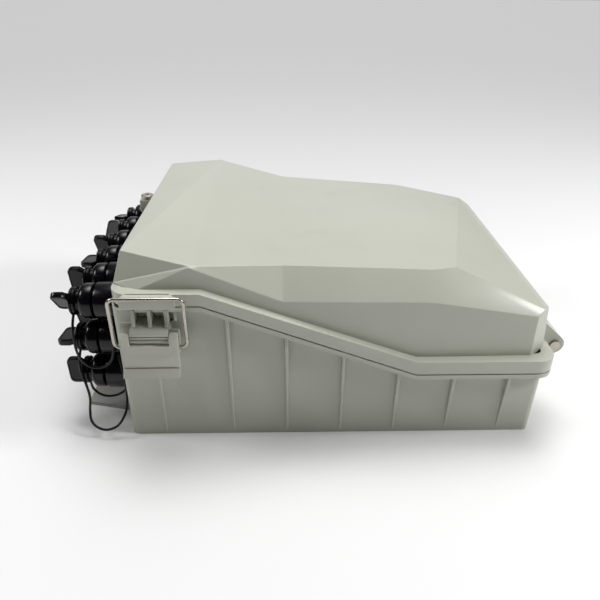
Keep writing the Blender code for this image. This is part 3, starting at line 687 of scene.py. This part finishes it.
def eye(name, y, width, on_lid):
    """A hinge eye and the web that runs back from it."""
    h = cfg("fb_hinge")
    b = cfg("fb_box")
    fr = flange_right()
    hx = fr + h.out
    lo = y - width / 2
    hi = y + width / 2
    ring = rod(name, "y", (hx, 0, h.z), h.r, lo, hi, 48)
    top = b.rim_low + b.lid_low + 0.0170
    if on_lid:
        outline = [(fr - 0.004, b.rim_low + 0.0040), (hx, h.z - 0.0020),
                   (hx + h.r * 0.6, h.z + h.r * 0.8), (fr - 0.004, top), (fr - 0.0105, top),
                   (fr - 0.0105, b.rim_low + b.lid_low - 0.002)]
    else:
        outline = [(x_right() - 0.001, b.rim_low - 0.0230), (hx, h.z - h.r), (hx, h.z),
                   (fr - 0.001, b.rim_low - 0.001), (x_right() - 0.001, b.rim_low - 0.001)]
    web = prism(name, outline, "y", lo, hi)
    boolean(ring, [web], "UNION")
    boolean(ring, [rod("bore", "y", (hx, 0, h.z), h.pin_r + 0.0003, lo - 0.01, hi + 0.01, 32)])
    return soften(ring, 0.0005, 2, 40)


def port_list():
    c = cfg("fb_port")
    rows = (c.row_0, c.row_1, c.row_2)
    out = []
    for row, count in enumerate(PORT_COUNTS):
        for k in range(count):
            out.append(("{:02d}".format(row * 6 + k), (k - 2.5) * c.pitch, rows[row], PORT_TURNS[row][k]))
    return out


# ------------------------------------------------------------------ operators
class FB_OT_housing(bpy.types.Operator):
    """Housing shell with its rim flange, side gussets, latch seats and hinge eyes"""
    bl_idname = "fibrebox.housing"
    bl_label = "Housing"

    def execute(self, context):
        b = cfg("fb_box")
        la = cfg("fb_latch")
        xl, xr, fr = x_left(), x_right(), flange_right()
        shell = slab("housing_shell", xl, xr, b.half_w, b.base_corner, lambda x: 0.0,
                     lambda x: rim(x) - 0.001, b.half_w - b.draft)
        soften(shell, 0.0022, 3, 50)
        boolean(shell, [slab("hollow", xl + b.port_wall, xr - b.wall, b.half_w - b.wall,
                             b.base_corner - 0.002, lambda x: b.wall,
                             lambda x: rim(x) + 0.004, b.half_w - b.draft - b.wall)])
        tools = [box("pocket", (xl - 0.001, -0.0945, -0.001), (xl + 0.0650, 0.0945, 0.0036))]
        pad = box("pad", (xl + 0.004, -0.1000, 0.0030), (xl + 0.0750, 0.1000, 0.0072))
        boolean(shell, [pad], "UNION")
        for _, y, z, _ in port_list():
            tools.append(rod("hole", "x", (xl, y, z), cfg("fb_port").hole_r, -0.002, 0.012))
        for _, s in SIDES:
            y0, y1 = sorted((s * (b.half_w - 0.0027), s * (b.half_w + 0.0100)))
            tools.append(box("sink", (la.x - 0.0110, y0, la.pin_z + 0.0060),
                             (la.x + 0.0172, y1, b.rim_high - b.flange_t)))
        boolean(shell, tools)
        dress(shell, finish("grey"), "base", ["base_housing"])

        flange = slab("housing_flange", xl, fr, b.half_w + b.flange_out, b.corner,
                      lambda x: rim(x) - b.flange_t, lambda x: rim(x) - 0.0003)
        soften(flange, 0.0006, 3, 50)
        boolean(flange, [slab("hollow", xl + b.port_wall, xr - b.wall, b.half_w - b.wall,
                              b.base_corner - 0.002, lambda x: rim(x) - 0.01, lambda x: rim(x) + 0.01)])
        groove = slab("groove", xl + 0.0018, xr + 0.0045, b.half_w + 0.0022, b.base_corner,
                      lambda x: rim(x) - 0.0022, lambda x: rim(x) + 0.002)
        boolean(groove, [slab("core", xl + 0.0054, xr + 0.0009, b.half_w - 0.0014, b.base_corner - 0.0015,
                              lambda x: rim(x) - 0.0040, lambda x: rim(x) + 0.004)])
        boolean(flange, [groove])
        dress(flange, finish("grey"), "base")

        ribs = []
        places = [la.x] + [-0.0790 + b.rib_pitch * k for k in range(6)]
        for x in places:
            top = rim(x) - b.flange_t + 0.0003
            for _, s in SIDES:
                root = b.half_w - 0.0040
                low_y = b.half_w - b.draft + 0.0003
                tip = b.half_w + b.flange_out - 0.0008
                t = b.rib_t / 2
                low = [(x - t * 0.7, s * root, 0.0030), (x - t * 0.5, s * low_y, 0.0030),
                       (x + t * 0.5, s * low_y, 0.0030), (x + t * 0.7, s * root, 0.0030)]
                high = [(x - t, s * root, top), (x - t * 0.85, s * tip, top),
                        (x + t * 0.85, s * tip, top), (x + t, s * root, top)]
                ribs.append(soften(loft("rib", [low, high]), 0.0004, 2, 50))
        dress(merge("housing_ribs", ribs), finish("grey"), "base")

        for name, s in SIDES:
            pin_y = s * (b.half_w + la.pin_out)
            half = 0.0135
            z = la.pin_z
            wall = b.half_w - 0.0035 - (b.half_w + la.pin_out)
            side = [(wall, z - 0.0048), (0.0012, z - 0.0050)]
            side += [(0.0042 + 0.0013 * math.cos(t), z - 0.0027 + 0.0013 * math.sin(t))
                     for t in (-1.6 + 0.4 * i for i in range(9))]
            side += [(0.0043, z - 0.0012), (0.0043, z - 0.0007), (0.0056, z - 0.0006), (0.0056, z + 0.0006),
                     (0.0045, z + 0.0008), (0.0045, z + 0.0013), (0.0056, z + 0.0015), (0.0055, z + 0.0024),
                     (0.0047, z + 0.0038), (0.0030, z + 0.0052), (0.0008, z + 0.0062), (-0.0030, z + 0.0078),
                     (wall, z + 0.0085)]
            seat = prism("seat", [(pin_y + s * p, q) for p, q in side], "x", la.x - half, la.x + half)
            boolean(seat, [rod("bore", "x", (la.x, pin_y, z), la.pin_r + 0.0003, -0.02, 0.02)])
            parts = [soften(seat, 0.0003, 2, 50)]
            top = b.rim_high - 0.0004
            for x, w, out, foot in ((-0.0158, 0.0048, -0.0014, 0.0082), (-0.0110, 0.0013, 0.0007, 0.0058),
                                    (0.0006, 0.0013, 0.0007, 0.0058), (0.0122, 0.0013, 0.0007, 0.0058),
                                    (0.0176, 0.0010, -0.0040, 0.0082)):
                low = z + foot
                side = [(wall, low), (out - 0.0016, low), (out + 0.0004, low + 0.0006),
                        (out + 0.0006, low + 0.0018), (out - 0.0006, low + 0.0034), (out - 0.0008, top),
                        (wall, top)]
                parts.append(soften(prism("bar", [(pin_y + s * p, q) for p, q in side],
                                          "x", la.x + x - w, la.x + x + w), 0.0004, 2, 40))
            dress(merge("latch_seat_" + name, parts), finish("grey"), "base")

        h = cfg("fb_hinge")
        for name, s in SIDES:
            knuckle = eye("hinge_eye_housing_" + name, s * h.y, h.inner_w, False)
            dress(knuckle, finish("grey"), "base")

        half = cfg("fb_port").pitch / 2 - cfg("fb_port").collar_r - b.gap
        lock = lock_place()
        lug = box("lock_lug_housing", (lock[0] - 0.0055, lock[1] - half, b.rim_high - 0.0110),
                  (xl + 0.0020, lock[1] + half, b.rim_high - 0.0004))
        soften(lug, 0.0008, 2, 40)
        boolean(lug, [rod("bore", "z", (lock[0], lock[1], 0), 0.0021,
                          b.rim_high - 0.013, b.rim_high + 0.004)])
        dress(lug, finish("grey"), "base")

        posts = []
        for x in (-0.0950, 0.1050):
            for y in (-0.0950, 0.0950):
                profile = [(0.002, 0), (0.002, 0.0060), (0.0196, 0.0058), (0.0200, 0.0054),
                           (0.0200, 0.0016), (0.0090, 0.0016), (0.0090, 0)]
                posts.append(turned("post", profile, "z", (x, y, 0), 32))
        dress(merge("housing_posts", posts), finish("grey"), "base")
        return {"FINISHED"}


class FB_OT_lid(bpy.types.Operator):
    """Faceted lid with its flange, keepers, hinge eyes and lock lug"""
    bl_idname = "fibrebox.lid"
    bl_label = "Lid"

    def execute(self, context):
        b = cfg("fb_box")
        la = cfg("fb_latch")
        h = cfg("fb_hinge")
        xl, xr, fr = x_left(), x_right(), flange_right()
        skin = loft("lid_skin", lid_rings(), True)
        soften(skin, 0.0016, 3, 9)
        boolean(skin, [loft("hollow", lid_rings(b.wall, b.wall * 1.1), True)])
        dress(skin, finish("lid"), "lid", ["lid"], 12)

        flange = slab("lid_flange", xl, fr, b.half_w + b.flange_out, b.corner,
                      lambda x: rim(x) + b.gap + 0.0003, lid_foot)
        soften(flange, 0.0007, 3, 50)
        boolean(flange, [slab("hollow", xl + b.wall * 1.6, xr - b.wall * 0.3, b.half_w - b.wall * 2.0,
                              b.base_corner, lambda x: rim(x) - 0.01, lambda x: lid_foot(x) + 0.01)])
        dress(flange, finish("lid"), "lid")

        for name, s in SIDES:
            kw, low, top, r = la.keeper_w / 2, b.rim_high + b.gap, b.rim_high + b.lid_high, 0.0036
            outline = [(la.x - kw, low), (la.x + kw, low)]
            for k in (1, -1):
                arc = [(la.x + k * (kw - r + r * math.cos(t)), top - r + r * math.sin(t)) for t in QUARTER]
                outline += arc if k == 1 else arc[::-1]
            y0, y1 = sorted((s * (b.half_w + 0.0030), s * (b.half_w + la.keeper_out)))
            keeper = prism("lid_keeper_" + name, outline, "y", y0, y1)
            dress(soften(keeper, 0.0007, 3, 40), finish("lid"), "lid")
            parts = []
            for k in (-1, 1):
                y = s * h.y + k * (h.inner_w + h.outer_w + 2 * h.gap) / 2
                parts.append(eye("eye", y, h.outer_w, True))
            dress(merge("hinge_eyes_lid_" + name, parts), finish("lid"), "lid")

        lock = lock_place()
        lug = box("lock_lug_lid", (lock[0] - 0.0070, lock[1] - 0.0070, b.rim_high + b.gap),
                  (xl + 0.0040, lock[1] + 0.0070, b.rim_high + 0.0135))
        soften(lug, 0.0016, 3, 40)
        boolean(lug, [rod("bore", "z", (lock[0], lock[1], 0), 0.0024,
                          b.rim_high - 0.004, b.rim_high + 0.020)])
        dress(lug, finish("lid"), "lid")
        return {"FINISHED"}


class FB_OT_latches(bpy.types.Operator):
    """Two side latches: lever and wire bail, bored for the pin"""
    bl_idname = "fibrebox.latches"
    bl_label = "Latches"

    def execute(self, context):
        b = cfg("fb_box")
        la = cfg("fb_latch")
        for name, s in SIDES:
            base = b.half_w + la.pin_out
            out = base + 0.0075
            w = la.width / 2
            outline = [(s * (out - 0.0040), la.pin_z - la.drop), (s * out, la.pin_z - la.drop),
                       (s * out, la.low + 0.001), (s * (out + 0.0008), la.low), (s * (out + 0.0042), la.lip),
                       (s * (out + 0.0016), la.lip - 0.0006), (s * (out - 0.0036), la.low - 0.0012)]
            plate = prism("latch_lever_body_" + name, outline, "x", la.x - w, la.x + w)
            cheek = [(s * (base - 0.0045), la.bail_z - 0.0040), (s * out, la.bail_z - 0.0040),
                     (s * out, la.top - 0.0030), (s * (out - 0.0030), la.top), (s * (base - 0.0030), la.top),
                     (s * (base - 0.0055), la.top - 0.0030)]
            sides = []
            for k in (-1, 1):
                lo, hi = sorted((la.x + k * w, la.x + k * 0.0140))
                sides.append(prism("cheek", cheek, "x", lo, hi))
            boolean(plate, sides, "UNION")
            boolean(plate, [box("step", (la.x - w - 0.001, s * (out - 0.0004), la.low - 0.0004),
                                (la.x + w + 0.001, s * (out + 0.0008), la.low + 0.0010))])
            boolean(plate, [rod("bore", "x", (la.x, s * base, la.pin_z), la.pin_r + 0.0003, -0.03, 0.03),
                            rod("bore", "x", (la.x, s * (base + 0.0012), la.bail_z),
                                la.bail_r + 0.0003, -0.03, 0.03)])
            soften(plate, 0.0006, 3, 40)
            dress(plate, finish("lever"), "lever_" + name, ["latch_lever_" + name])

            y = s * (base + 0.0012)
            top_y = s * (b.half_w + la.keeper_out + la.bail_r + b.gap)
            top_z = b.rim_high + b.lid_high - la.bail_r * 0.4
            r = 0.0042
            path = []
            for k in (-1, 1):
                side = [(la.x + k * 0.0172, y, la.bail_z)]
                for t in QUARTER:
                    x = la.x + k * (la.bail_half - r + r * math.sin(t))
                    side.append((x, y, la.bail_z + r - r * math.cos(t)))
                for t in QUARTER:
                    x = la.x + k * (la.bail_half - r + r * math.cos(t))
                    side.append((x, top_y, top_z - r + r * math.sin(t)))
                path += side if k == -1 else side[::-1]
            wire = tube("latch_wire_" + name, path, la.bail_r, 20)
            dress(wire, finish("wire"), "bail_" + name, ["latch_bail_" + name], 50)
        return {"FINISHED"}


def tube(name, path, radius, sides):
    """Round wire along a path."""
    bm = bmesh.new()
    pts = [Vector(p) for p in path]
    loops = []
    normal = None
    for i, p in enumerate(pts):
        before = (p - pts[i - 1]).normalized() if i else (pts[1] - p).normalized()
        after = (pts[i + 1] - p).normalized() if i < len(pts) - 1 else before
        d = (before + after).normalized()
        if normal is None:
            normal = d.cross(Vector((0.02, 1, 0.01))).normalized()
        normal = (normal - d * normal.dot(d)).normalized()
        other = d.cross(normal)
        ring = []
        for k in range(sides):
            t = math.tau * k / sides
            ring.append(bm.verts.new(p + (normal * math.cos(t) + other * math.sin(t)) * radius))
        loops.append(ring)
    for a, c in zip(loops[:-1], loops[1:]):
        for k in range(sides):
            m = (k + 1) % sides
            bm.faces.new((a[k], a[m], c[m], c[k]))
    bm.faces.new(list(reversed(loops[0])))
    bm.faces.new(loops[-1])
    return keep(name, bm)


class FB_OT_ports(bpy.types.Operator):
    """Adapters in the port wall and their screw caps with flat grip tabs"""
    bl_idname = "fibrebox.ports"
    bl_label = "Ports"

    def execute(self, context):
        c = cfg("fb_port")
        b = cfg("fb_box")
        xl = x_left()
        for tag, y, z, turn in port_list():
            centre = (xl, y, z)
            back = b.port_wall + b.gap
            nut = c.barrel_r + 0.0035
            profile = [(0.0220, 0), (0.0220, 0.0048), (0.0150, 0.0062), (0.0150, nut - 0.0006), (0.0144, nut),
                       (back + 0.0006, nut), (back, nut - 0.0006), (back, c.barrel_r), (-b.gap, c.barrel_r),
                       (-b.gap, c.collar_r - 0.0008), (-b.gap - 0.0008, c.collar_r),
                       (0.0016 - c.collar_l, c.collar_r), (0.0007 - c.collar_l, c.collar_r - 0.0004),
                       (-c.collar_l, c.collar_r - 0.0013), (-c.collar_l, 0.0100),
                       (-c.collar_l - c.groove, 0.0100), (-c.collar_l - c.groove, 0)]
            body = turned("port_body_" + tag, profile, "x", centre, 48)
            dress(body, finish("port"), "base", ["adapter_" + tag], 28)
            start = -c.collar_l - c.groove - b.gap
            end = start - c.cap_l
            neck = end - c.neck_l
            ring = end - c.neck_l * 0.4
            proud = c.neck_r + c.ring
            waist = (ring + neck) / 2
            profile = [(start, 0), (start, c.cap_r - 0.0009), (start - 0.0004, c.cap_r - 0.0003),
                       (start - 0.0011, c.cap_r), (end + 0.0034, c.cap_r), (end + 0.0016, c.cap_r - 0.0006),
                       (end + 0.0004, c.cap_r - 0.0018), (end, c.cap_r - 0.0034),
                       (end - 0.0002, c.neck_r + 0.0006),
                       (end - 0.0008, c.neck_r), (ring + 0.0004, c.neck_r), (ring, c.neck_r + 0.0003),
                       (ring, proud - 0.0007), (ring - 0.0006, proud), (waist + 0.0005, proud),
                       (waist, proud - 0.0006), (waist - 0.0005, proud), (neck + 0.0007, proud),
                       (neck, proud - 0.0008), (neck, 0)]
            cap = turned("cap_body_" + tag, profile, "x", centre, 48)
            x1 = neck + 0.0012
            x0 = x1 - c.tab_l
            w = c.tab_w / 2
            r = 0.0042
            outline = [(x1, -w * 0.50), (x1, w * 0.50), (x1 - 0.0022, w * 0.82), (x1 - 0.0048, w)]
            for t in QUARTER:
                outline.append((x0 + r - r * math.sin(t), w - r + r * math.cos(t)))
            for t in QUARTER:
                outline.append((x0 + r - r * math.cos(t), -w + r - r * math.sin(t)))
            outline += [(x1 - 0.0048, -w), (x1 - 0.0022, -w * 0.82)]
            t = math.radians(turn)
            co, si = math.cos(t), math.sin(t)
            rings = []
            for h in (-c.tab_t / 2, c.tab_t / 2):
                rings.append([(xl + p, y + h * co - q * si, z + h * si + q * co) for p, q in outline])
            tab = soften(loft("tab", rings), 0.0012, 3, 40)
            faces = []
            for h in (-c.tab_t / 2 - 0.0002, c.tab_t / 2 + 0.0002):
                root = x1 - 0.0050
                inner = [(root + (p - root) * 0.80 if p < root else p, q * 0.80) for p, q in outline]
                pocket = []
                for e in (h - 0.0007, h + 0.0007):
                    pocket.append([(xl + p - 0.0006, y + e * co - q * si, z + e * si + q * co)
                                   for p, q in inner])
                faces.append(loft("pocket", pocket))
            boolean(tab, faces)
            dress(merge("cap_" + tag, [cap, tab]), finish("cap"), "cap_" + tag,
                  ["port_cap_" + tag], 28)
        return {"FINISHED"}


TETHER_ROUTES = {
    "00": ((-0.1978, -0.0925, 0.0317), (-0.1978, -0.0925, 0.0285), (-0.1964, -0.0930, 0.0235),
           (-0.1915, -0.0940, 0.0190), (-0.1850, -0.0945, 0.0172), (-0.1780, -0.0945, 0.0182),
           (-0.1720, -0.0940, 0.0213), (-0.1688, -0.0930, 0.0250), (-0.1680, -0.0925, 0.0281)),
    "06": ((-0.1978, -0.1005, 0.0664), (-0.1980, -0.1025, 0.0643), (-0.1982, -0.1056, 0.0592),
           (-0.1972, -0.1086, 0.0500), (-0.1942, -0.1112, 0.0400), (-0.1925, -0.1134, 0.0300),
           (-0.1932, -0.1162, 0.0200), (-0.1920, -0.1205, 0.0130), (-0.1865, -0.1250, 0.0098),
           (-0.1780, -0.1275, 0.0092), (-0.1695, -0.1250, 0.0120), (-0.1643, -0.1185, 0.0200),
           (-0.1634, -0.1135, 0.0300), (-0.1640, -0.1100, 0.0420), (-0.1655, -0.1075, 0.0530),
           (-0.1670, -0.1052, 0.0605), (-0.1680, -0.1032, 0.0638)),
    "12": ((-0.1978, -0.1005, 0.0979), (-0.1978, -0.1030, 0.0955), (-0.1977, -0.1072, 0.0895),
           (-0.1974, -0.1095, 0.0810), (-0.1970, -0.1098, 0.0720), (-0.1952, -0.1092, 0.0632),
           (-0.1912, -0.1082, 0.0570), (-0.1850, -0.1076, 0.0545), (-0.1780, -0.1078, 0.0560),
           (-0.1722, -0.1088, 0.0620), (-0.1692, -0.1096, 0.0710), (-0.1683, -0.1096, 0.0810),
           (-0.1680, -0.1072, 0.0895), (-0.1680, -0.1050, 0.0933), (-0.1680, -0.1032, 0.0953)),
}


def smooth_route(points, step):
    """Evenly spaced points on a smooth curve through the route's own points, and its length."""
    pts = [Vector(p) for p in points]
    pts = [pts[0] * 2 - pts[1]] + pts + [pts[-1] * 2 - pts[-2]]
    fine = []
    for a, b, c, d in zip(pts[:-3], pts[1:-2], pts[2:-1], pts[3:]):
        for i in range(20):
            t = i / 20
            fine.append((b * 2 + (c - a) * t + (a * 2 - b * 5 + c * 4 - d) * t ** 2
                         + (b * 3 - a - c * 3 + d) * t ** 3) / 2)
    fine.append(pts[-2])
    run = [0.0]
    for a, b in zip(fine[:-1], fine[1:]):
        run.append(run[-1] + (b - a).length)
    count = max(2, round(run[-1] / step))
    out = []
    k = 0
    for i in range(count + 1):
        want = run[-1] * i / count
        while k < len(run) - 2 and run[k + 1] < want:
            k += 1
        out.append(fine[k].lerp(fine[k + 1], (want - run[k]) / (run[k + 1] - run[k])))
    return out, run[-1]


class FB_OT_tethers(bpy.types.Operator):
    """Cords that tie the near column's caps to their adapters"""
    bl_idname = "fibrebox.tethers"
    bl_label = "Tethers"

    def execute(self, context):
        for tag, route in TETHER_ROUTES.items():
            pts, run = smooth_route(route, 0.0015)
            curve = bpy.data.curves.new("tether_cord_" + tag, "CURVE")
            curve.dimensions = "3D"
            curve.bevel_depth = cfg("fb_port").tether / 2
            curve.bevel_resolution = 4
            curve.use_fill_caps = True
            line = curve.splines.new("POLY")
            line.points.add(len(pts) - 1)
            for place, p in zip(line.points, pts):
                place.co = (p.x, p.y, p.z, 1.0)
            line.use_smooth = True
            ob = bpy.data.objects.new("tether_cord_" + tag, curve)
            context.scene.collection.objects.link(ob)
            curve.materials.append(finish("tether"))
            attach(ob, "base")
            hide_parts("tether_" + tag)
            cfg("fb_port").tether
        return {"FINISHED"}


class FB_OT_stage(bpy.types.Operator):
    """Floor, studio lights and camera"""
    bl_idname = "fibrebox.stage"
    bl_label = "Stage"

    def execute(self, context):
        c = cfg("fb_stage")
        h = c.size / 2
        floor = loft("floor", [[(-h, -h, -0.002), (h, -h, -0.002), (h, h, -0.002), (-h, h, -0.002)],
                               [(-h, -h, 0.0), (h, -h, 0.0), (h, h, 0.0), (-h, h, 0.0)]])
        s = Shader("floor_white")
        s.set("Base Color", rgb(0.78, 0.78, 0.78))
        s.set("Roughness", 0.85 + s.noise(3.0) * 0.1)
        s.set("Specular IOR Level", 0.1)
        floor.data.materials.append(s.mat)
        floor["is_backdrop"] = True

        context.scene.view_settings.view_transform = "Standard"
        world = bpy.data.worlds.new("studio")
        world.use_nodes = True
        sky = world.node_tree
        back = sky.nodes["Background"]
        back.inputs[0].default_value = rgb(1.0, 1.0, 1.0)
        where = sky.nodes.new("ShaderNodeTexCoord").outputs["Generated"]
        total = Wire(sky, WORLD_EVEN)
        for aim, power, bright in WORLD_LOBES:
            dot = sky.nodes.new("ShaderNodeVectorMath")
            dot.operation = "DOT_PRODUCT"
            sky.links.new(where, dot.inputs[0])
            dot.inputs[1].default_value = Vector(aim).normalized()
            total = Wire(sky, dot.outputs["Value"]).clamp() ** power * bright + total
        total.feed(back.inputs[1])
        context.scene.world = world
        for name, place, aim, size, power in LAMPS:
            lamp = bpy.data.lights.new(name, "AREA")
            lamp.size = size
            lamp.energy = power
            ob = bpy.data.objects.new(name, lamp)
            context.scene.collection.objects.link(ob)
            ob.location = place
            ob.rotation_euler = (Vector(aim) - Vector(place)).to_track_quat("-Z", "Y").to_euler()

        p, yaw, roll = (math.radians(v) for v in (c.pitch, c.yaw, c.roll))
        ahead = Vector((math.sin(yaw) * math.cos(p), math.cos(yaw) * math.cos(p), -math.sin(p)))
        right = Vector((math.cos(yaw), -math.sin(yaw), 0.0))
        up = right.cross(ahead)
        r2 = right * math.cos(roll) + up * math.sin(roll)
        u2 = up * math.cos(roll) - right * math.sin(roll)
        cam = bpy.data.objects.new("camera", bpy.data.cameras.new("camera"))
        cam.data.lens = c.lens
        cam.data.sensor_width = 36.0
        context.scene.collection.objects.link(cam)
        turn = Matrix((r2, u2, -ahead)).transposed().to_4x4()
        cam.matrix_world = Matrix.Translation((c.cam_x, c.cam_y, c.cam_z)) @ turn
        context.scene.camera = cam
        return {"FINISHED"}


class FB_OT_carried(bpy.types.Operator):
    """Finishes for the frame's own pieces that are shown as they are"""
    bl_idname = "fibrebox.carried"
    bl_label = "Frame pieces"

    def execute(self, context):
        plain = {
            "lid_seal": "seal", "hinge_pin_near": "steel", "hinge_pin_far": "steel",
            "latch_pin_near": "steel", "latch_pin_far": "steel", "lock_screw": "steel",
            "mounting_bracket": "bracket", "bracket_screw_near": "steel", "bracket_screw_far": "steel",
            "chassis_plate": "zinc", "chassis_screw_1": "steel", "chassis_screw_2": "steel",
            "chassis_screw_3": "steel", "chassis_screw_4": "steel", "splice_tray_lower": "tray",
            "splice_tray_upper": "tray", "tray_cover": "cover", "splitter": "splitter",
        }
        for node, key in plain.items():
            ob = bpy.data.objects.get(node)
            if ob is not None and ob.type == "MESH":
                ob.data.materials.clear()
                ob.data.materials.append(finish(key))
        return {"FINISHED"}


class FB_PT_panel(bpy.types.Panel):
    """Sizes and build buttons"""
    bl_idname = "FB_PT_panel"
    bl_label = "Fibre box"
    bl_space_type = "VIEW_3D"
    bl_region_type = "UI"
    bl_category = "Fibre box"

    def draw(self, context):
        for key, group in SETTINGS.items():
            column = self.layout.column(align=True)
            for prop in group.__annotations__:
                column.prop(getattr(context.scene, key), prop)
        for operator in OPERATORS:
            self.layout.operator(operator.bl_idname)


OPERATORS = (FB_OT_stage, FB_OT_tethers, FB_OT_carried, FB_OT_housing, FB_OT_lid, FB_OT_latches, FB_OT_ports)


def register():
    for key, group in SETTINGS.items():
        bpy.utils.register_class(group)
        setattr(bpy.types.Scene, key, PointerProperty(type=group))
    for operator in OPERATORS:
        bpy.utils.register_class(operator)
    bpy.utils.register_class(FB_PT_panel)


def unregister():
    bpy.utils.unregister_class(FB_PT_panel)
    for operator in reversed(OPERATORS):
        bpy.utils.unregister_class(operator)
    for key, group in SETTINGS.items():
        delattr(bpy.types.Scene, key)
        bpy.utils.unregister_class(group)


def plain(bounds):
    return json.loads(json.dumps(bounds, default=list))


def main():
    before = plain(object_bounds())
    register()
    bpy.ops.fibrebox.stage()
    bpy.ops.fibrebox.tethers()
    bpy.ops.fibrebox.carried()
    bpy.ops.fibrebox.housing()
    bpy.ops.fibrebox.lid()
    bpy.ops.fibrebox.latches()
    bpy.ops.fibrebox.ports()
    {"before": before, "after": plain(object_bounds())}


if __name__ == "__main__":
    main()
